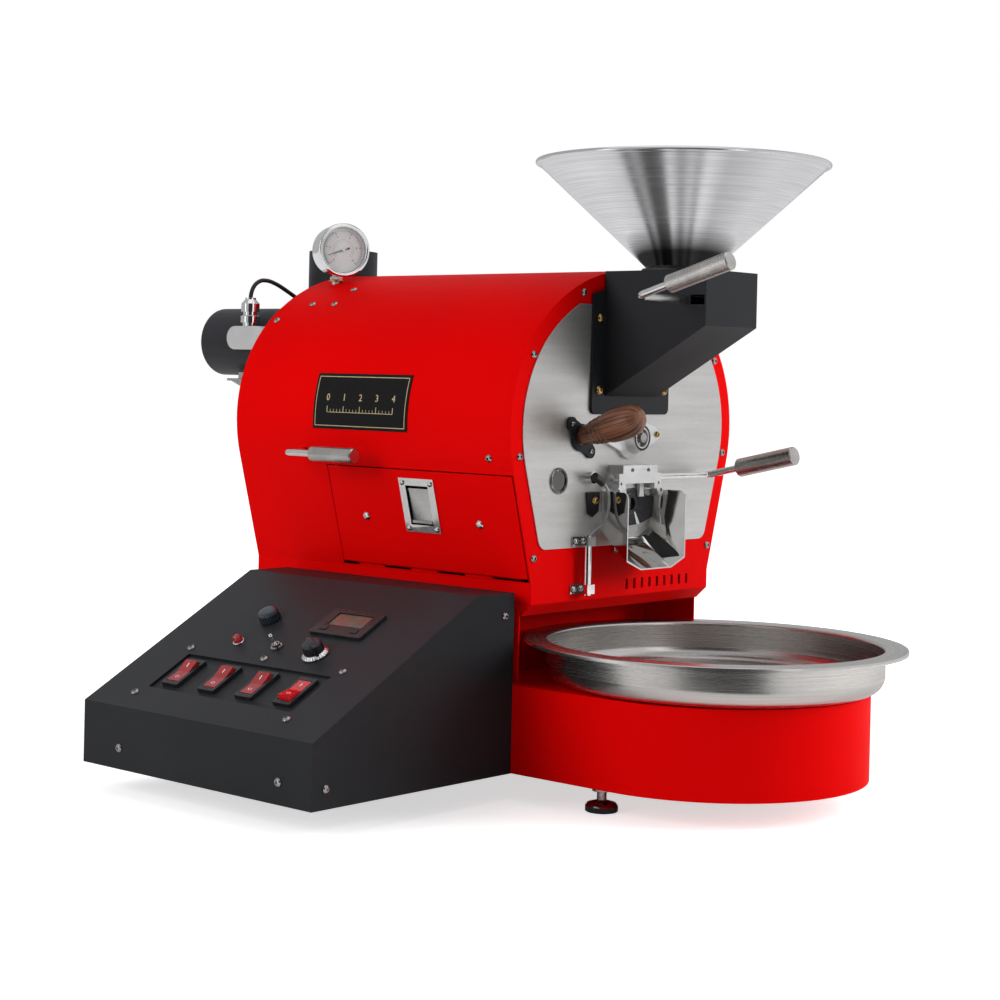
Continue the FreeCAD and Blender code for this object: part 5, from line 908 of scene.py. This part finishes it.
for number in range(6):
    tickMeshes.append(dialNumber(str(number * 2), 225.0 - gaugeLook["sweep"] * number / 5, 16.9, 3.4))
addPiece("gaugeScale", joinMeshes("gaugeScale", tickMeshes), darkPrint, "machine", degrees=30)
arcMeshes = [dialArc("outerArc", 23.4, 0.25, 225, -45), dialArc("innerArc", 12.4, 0.22, 225, -45, steps=60),
             dialArc("middleArc", 10.6, 0.12, 225, -45, steps=60)]
addPiece("gaugeArcs", joinMeshes("gaugeArcs", arcMeshes), greyPrint, "machine", degrees=30)
addPiece("gaugeBand", dialArc("gaugeBand", 24.1, 0.9, 225, 120, steps=50), scaleGreen, "machine", degrees=30)
needleTurn = math.radians(gaugeLook["needle"])
needleFlat = np.array([(-8.0, -1.1), (-6.0, -1.5), (-5.0, -0.5), (0.0, -0.75), (19.6, -0.18),
                       (20.4, 0.0), (19.6, 0.18), (0.0, 0.75),
                       (-5.0, 0.5), (-6.0, 1.5), (-8.0, 1.1)])
spin = np.array([[math.cos(needleTurn), math.sin(needleTurn)], [-math.sin(needleTurn), math.cos(needleTurn)]])
needleLow = onDial(needleFlat @ spin, 1.2)
needleHigh = onDial(needleFlat @ spin, 1.5)
count = len(needleFlat)
sides = [(i, (i + 1) % count, (i + 1) % count + count, i + count) for i in range(count)]
needleMesh = bpy.data.meshes.new("gaugeNeedle")
needleMesh.from_pydata(toFrame(np.concatenate([needleLow, needleHigh])).tolist(), [],
                       [tuple(range(count))[::-1], tuple(range(count, 2 * count)), *sides])
mergeDoubles(needleMesh, 1e-8, outward=True)
addPiece("gaugeNeedleCut", needleMesh, darkPrint, "needle", ("gauge_needle",), degrees=30)
hubMesh = turnedMesh("needleHub", roundCorners([(0, 25.4), (2.0, 25.4), (2.0, 26.9), (1.4, 27.3), (0, 27.4)], 0.3, 4),
                     gaugeLook["centre"], gaugeOut, gaugeRight, 48)
addPiece("needleHub", hubMesh, whiteEnamel, "needle", degrees=40)
lensProfile = roundCorners([(0, 27.8), (26.9, 27.8), (27.1, 28.2), (26.9, 28.5), (0, 28.9)], 0.2, 4)
addPiece("gaugeLensDisc", turnedMesh("gaugeLens", lensProfile, gaugeLook["centre"], gaugeOut, gaugeRight, 96),
         gaugeGlass, "machine", ("gauge_lens",), degrees=50)


# Gauge fitting: a stem with a hexagon nut, and a brass ring on the roof
def hexMesh(name, centre, across, low, high, axis=(0, 0, 1), side=(1, 0, 0), turnBy=0.0):
    # A hexagon prism with chamfered corners: the outline's radius falls between flats and corners
    axis, side = unit(axis), unit(side)
    other = np.cross(axis, side)
    angle = np.radians(np.arange(0, 360, 60) + turnBy)
    radius = across / 2 / math.cos(math.radians(30))
    levels = [(radius * 0.90, low), (radius, low + 0.6), (radius, high - 0.6), (radius * 0.90, high)]
    ring = np.stack([np.outer(np.cos(angle), side) * r + np.outer(np.sin(angle), other) * r + axis * h
                     for r, h in levels],
                    axis=1) + np.asarray(centre, float)
    middle = np.asarray(centre, float)
    ring = np.concatenate([np.broadcast_to(middle + axis * low, (6, 1, 3)), ring,
                           np.broadcast_to(middle + axis * high, (6, 1, 3))], axis=1)
    mesh = gridMesh(name, ring, closedU=True)
    mergeDoubles(mesh, 1e-7, outward=True)
    mesh.polygons.foreach_set("use_smooth", np.zeros(len(mesh.polygons), bool))
    return mesh


fittingLook = {"x": -70.0, "y": 391.0}
stemMesh = turnedMesh("gaugeStem", [(0, 512.0), (4.9, 512.0), (4.9, 538.0), (0, 538.0)],
                      (fittingLook["x"], fittingLook["y"], 0), steps=48)
addPiece("gaugeStem", joinMeshes("gaugeStem", [
    stemMesh, hexMesh("stemNut", (fittingLook["x"], fittingLook["y"], 0), 13.0, 527.2, 531.2)]), paleCast, "machine",
    degrees=30)
roofRing = roundCorners([(5.1, 525.0), (8.6, 525.0), (8.6, 526.9), (5.1, 526.9)], 0.4, 4)
addPiece("gaugeStemRing", turnedMesh("stemRing", roofRing, (fittingLook["x"], fittingLook["y"], 0), steps=64,
                                     closed=True), brass, "machine", degrees=40)
print("gauge finished")

leftOver = [node for node in frame["nodes"] if node not in finishedNodes]
for node in leftOver:
    mesh = frame["nodes"][node].data
    mesh.materials.clear()
    mesh.materials.append(zincSteel)
print("nodes shown as they are:", leftOver)


# Stage
def stagePlane(name, corners, material):
    mesh = bpy.data.meshes.new(name)
    mesh.from_pydata(corners, [], [(0, 1, 2, 3)])
    mesh.materials.append(material)
    plane = bpy.data.objects.new(name, mesh)
    bpy.context.scene.collection.objects.link(plane)
    return plane


def paleFloor():
    # A pale floor that glows a little to the camera, so it reads white, and wholly white far from the object
    material, tree, shader = startMaterial("paleFloor", {"Roughness": 0.85, "Specular IOR Level": 0.1})
    cloud = noiseOf(tree, patternVector(tree), 1.5, 2.0)
    setInput(tree, shader, "Base Color", rampOf(tree, cloud, [(0.3, (0.86, 0.86, 0.86)), (0.7, (0.88, 0.88, 0.88))]))
    setInput(tree, shader, "Emission Color", rampOf(tree, cloud, [(0.0, (1, 1, 1)), (1.0, (0.99, 0.99, 0.99))]))
    coordinates = addNode(tree, "ShaderNodeTexCoord")
    length = addNode(tree, "ShaderNodeVectorMath", {0: coordinates.outputs["Object"]}, operation="LENGTH")
    away = length.outputs["Value"]
    glow = rangeOf(tree, away, stageLook["floorGlow"], 1.0, 0.55, 1.3)
    rays = addNode(tree, "ShaderNodeLightPath")
    seenOnly = addNode(tree, "ShaderNodeMath", {0: glow, 1: rays.outputs["Is Camera Ray"]}, operation="MULTIPLY")
    setInput(tree, shader, "Emission Strength", seenOnly.outputs[0])
    return material


stageLook = {"floorSize": 12.0, "floorGlow": 0.62, "right": 88.0, "left": 50.0, "rear": 12.0, "top": 7.0,
             "world": 0.24, "gloss": 0.5}
size = stageLook["floorSize"]
stagePlane("floor", [(-size, -size, 0), (size, -size, 0), (size, size, 0), (-size, size, 0)], paleFloor())

world = bpy.data.worlds.new("studioWorld")
bpy.context.scene.world = world
world.use_nodes = True
worldTree = world.node_tree
worldTree.nodes.clear()
rays = addNode(worldTree, "ShaderNodeLightPath")
seen = addNode(worldTree, "ShaderNodeMath",
               {0: rays.outputs["Is Camera Ray"], 1: rays.outputs["Is Transmission Ray"]},
               operation="ADD", use_clamp=True).outputs[0]
strength = addNode(worldTree, "ShaderNodeMix", {"Factor": rays.outputs["Is Glossy Ray"]},
                   {"A": stageLook["world"], "B": stageLook["gloss"]}).outputs[0]
lit = addNode(worldTree, "ShaderNodeBackground", {"Strength": strength}, {"Color": (0.97, 0.98, 1.0, 1)})
pale = addNode(worldTree, "ShaderNodeBackground", values={"Color": (1, 1, 1, 1), "Strength": 1.0})
mixed = addNode(worldTree, "ShaderNodeMixShader", {0: seen, 1: lit.outputs[0], 2: pale.outputs[0]})
addNode(worldTree, "ShaderNodeOutputWorld", {"Surface": mixed.outputs[0]})


def softLamp(name, place, aim, wide, high, power, colour=(1, 1, 1)):
    lamp = bpy.data.lights.new(name, "AREA")
    lamp.shape = "RECTANGLE"
    lamp.size = wide
    lamp.size_y = high
    lamp.energy = power
    lamp.color = colour
    holder = bpy.data.objects.new(name, lamp)
    holder.visible_glossy = False
    bpy.context.scene.collection.objects.link(holder)
    way = unit(np.asarray(aim, float) - np.asarray(place, float))
    side = unit(np.cross(way, (0, 0, 1)))
    up = np.cross(side, way)
    holder.matrix_world = Matrix([[side[0], up[0], -way[0], place[0]], [side[1], up[1], -way[1], place[1]],
                                  [side[2], up[2], -way[2], place[2]], [0, 0, 0, 1]])
    return holder


aimPoint = (0.0, 0.0, 0.3)
softLamp("rightLamp", (1.9, -2.5, 1.5), aimPoint, 1.5, 1.9, stageLook["right"])
softLamp("leftLamp", (-2.75, 0.9, 1.4), aimPoint, 1.5, 1.9, stageLook["left"])
softLamp("rearLamp", (1.6, 2.2, 1.9), aimPoint, 1.2, 1.0, stageLook["rear"])
softLamp("topLamp", (-0.2, -0.2, 2.6), (0.0, -0.1, 0.0), 1.4, 1.0, stageLook["top"])


def onlyMirrored(card):
    card.visible_camera = False
    card.visible_diffuse = False
    card.visible_shadow = False
    card.visible_transmission = False


def mirrorCard(name, corners, level, spread=0.15):
    # A card that only reflections see: its own glow, a little uneven, gives bright metal its dark and light bands
    material, tree, shader = startMaterial(
        name, {"Roughness": 1.0, "Specular IOR Level": 0.0, "Emission Strength": 1.0})
    cloud = noiseOf(tree, patternVector(tree), 2.0, 2.0)
    low, high = level * (1 - spread), level * (1 + spread)
    stops = [(0.3, (low, low, low * 1.04)), (0.7, (high, high, high * 1.04))]
    setInput(tree, shader, "Emission Color", rampOf(tree, cloud, stops))
    setInput(tree, shader, "Base Color", rampOf(tree, cloud, [(0.3, (0, 0, 0)), (0.7, (0.01, 0.01, 0.01))]))
    onlyMirrored(stagePlane(name, corners, material))


mirrorCard("cameraCard", [(-3.0, -0.9, 0.0), (-0.9, -3.1, 0.0), (-0.9, -3.1, 1.7), (-3.0, -0.9, 1.7)], 0.03)
mirrorCard("floorCard", [(-3.0, -0.9, 0.004), (-0.9, -3.1, 0.004), (-0.1, -0.75, 0.004), (-0.75, -0.45, 0.004)], 0.03)
mirrorCard("rightStrip", [(-0.85, -2.95, 0.0), (-0.2, -3.0, 0.0), (-0.2, -3.0, 2.2), (-0.85, -2.95, 2.2)], 1.7)
mirrorCard("rightWall", [(0.3, -3.0, 0.0), (3.2, 0.5, 0.0), (3.2, 0.5, 2.6), (0.3, -3.0, 2.6)], 0.78)
mirrorCard("leftStrip", [(-2.65, 1.45, 0.0), (-2.9, 0.8, 0.0), (-2.9, 0.8, 2.2), (-2.65, 1.45, 2.2)], 1.6)
mirrorCard("skyCard", [(-0.9, -1.1, 2.3), (0.9, -1.1, 2.3), (0.9, 0.8, 2.3), (-0.9, 0.8, 2.3)], 1.1)


def hopperCard():
    # What the hopper's cone mirrors: a flat card seen by reflections from above only, dark near the neck,
    # with light and dark bands that change with the direction round the hopper (0.5 on the ramp is the camera's)
    name = "hopperCard"
    material, tree, shader = startMaterial(name, {"Roughness": 1.0, "Specular IOR Level": 0.0})
    centre = tuple(toFrame((0.0, -67.3, 538.5)))
    low, high = toFrame((-1200.0, -420.0, 538.5)), toFrame((1200.0, 1600.0, 538.5))
    coordinates = addNode(tree, "ShaderNodeTexCoord").outputs["Object"]
    local = addNode(tree, "ShaderNodeMapping", {"Vector": coordinates},
                    {"Location": tuple(-value for value in centre)})
    turned = addNode(tree, "ShaderNodeMapping", {"Vector": local.outputs[0]},
                     {"Rotation": (0, 0, -math.radians(221.7))})
    parts = addNode(tree, "ShaderNodeSeparateXYZ", {0: turned.outputs[0]})
    angle = addNode(tree, "ShaderNodeMath", {0: parts.outputs["Y"], 1: parts.outputs["X"]},
                    operation="ARCTAN2").outputs[0]
    around = rangeOf(tree, angle, 0.0, 1.0, -math.pi, math.pi)
    bands = rampOf(tree, around, [(place, (level, level, level * 1.03)) for place, level in (
        (0.0, 0.7), (0.28, 0.9), (0.36, 0.8), (0.375, 0.10), (0.395, 0.5), (0.41, 0.07), (0.445, 0.12), (0.455, 1.0),
        (0.48, 0.3), (0.50, 0.75), (0.515, 0.35), (0.53, 1.0), (0.57, 0.6), (0.68, 0.85), (1.0, 0.75))])
    away = addNode(tree, "ShaderNodeVectorMath", {0: turned.outputs[0]}, operation="LENGTH").outputs["Value"]
    fade = rangeOf(tree, away, 0.04, 1.0, 0.055, 0.085)
    back = addNode(tree, "ShaderNodeNewGeometry").outputs["Backfacing"]
    setInput(tree, shader, "Base Color", rampOf(tree, fade, [(0.0, (0, 0, 0)), (1.0, (0.01, 0.01, 0.01))]))
    setInput(tree, shader, "Emission Color", bands)
    setInput(tree, shader, "Emission Strength", fade)
    shown = addNode(tree, "ShaderNodeMath", {1: back}, {0: 1.0}, operation="SUBTRACT").outputs[0]
    setInput(tree, shader, "Alpha", shown)
    card = stagePlane(name, [tuple(low), (high[0], low[1], low[2]), tuple(high), (low[0], high[1], low[2])], material)
    onlyMirrored(card)


hopperCard()

# Camera: the photograph's own viewing angle, lens and framing
cameraLook = {"place": (-1820.4, -1385.3, 415.2), "forward": (0.7465, 0.6654, -0.0039),
              "roll": 1.328, "lens": 74.39,
              "shiftX": 0.0324, "shiftY": -0.1158}
camera = bpy.data.cameras.new("photoCamera")
camera.lens = cameraLook["lens"]
camera.sensor_width = 36.0
camera.shift_x = cameraLook["shiftX"]
camera.shift_y = cameraLook["shiftY"]
camera.clip_start = 0.05
camera.clip_end = 50
forward = unit(cameraLook["forward"])
right = unit(np.cross(forward, (0, 0, 1)))
upward = np.cross(right, forward)
roll = math.radians(cameraLook["roll"])
rolledRight = math.cos(roll) * right + math.sin(roll) * upward
rolledUp = math.cos(roll) * upward - math.sin(roll) * right
place = toFrame(cameraLook["place"])
holder = bpy.data.objects.new("photoCamera", camera)
bpy.context.scene.collection.objects.link(holder)
cameraAxes = [[rolledRight[i], rolledUp[i], -forward[i], place[i]] for i in range(3)]
holder.matrix_world = Matrix(cameraAxes + [[0, 0, 0, 1]])
bpy.context.scene.camera = holder
bpy.context.scene.view_settings.view_transform = "Standard"
print("stage and camera set")
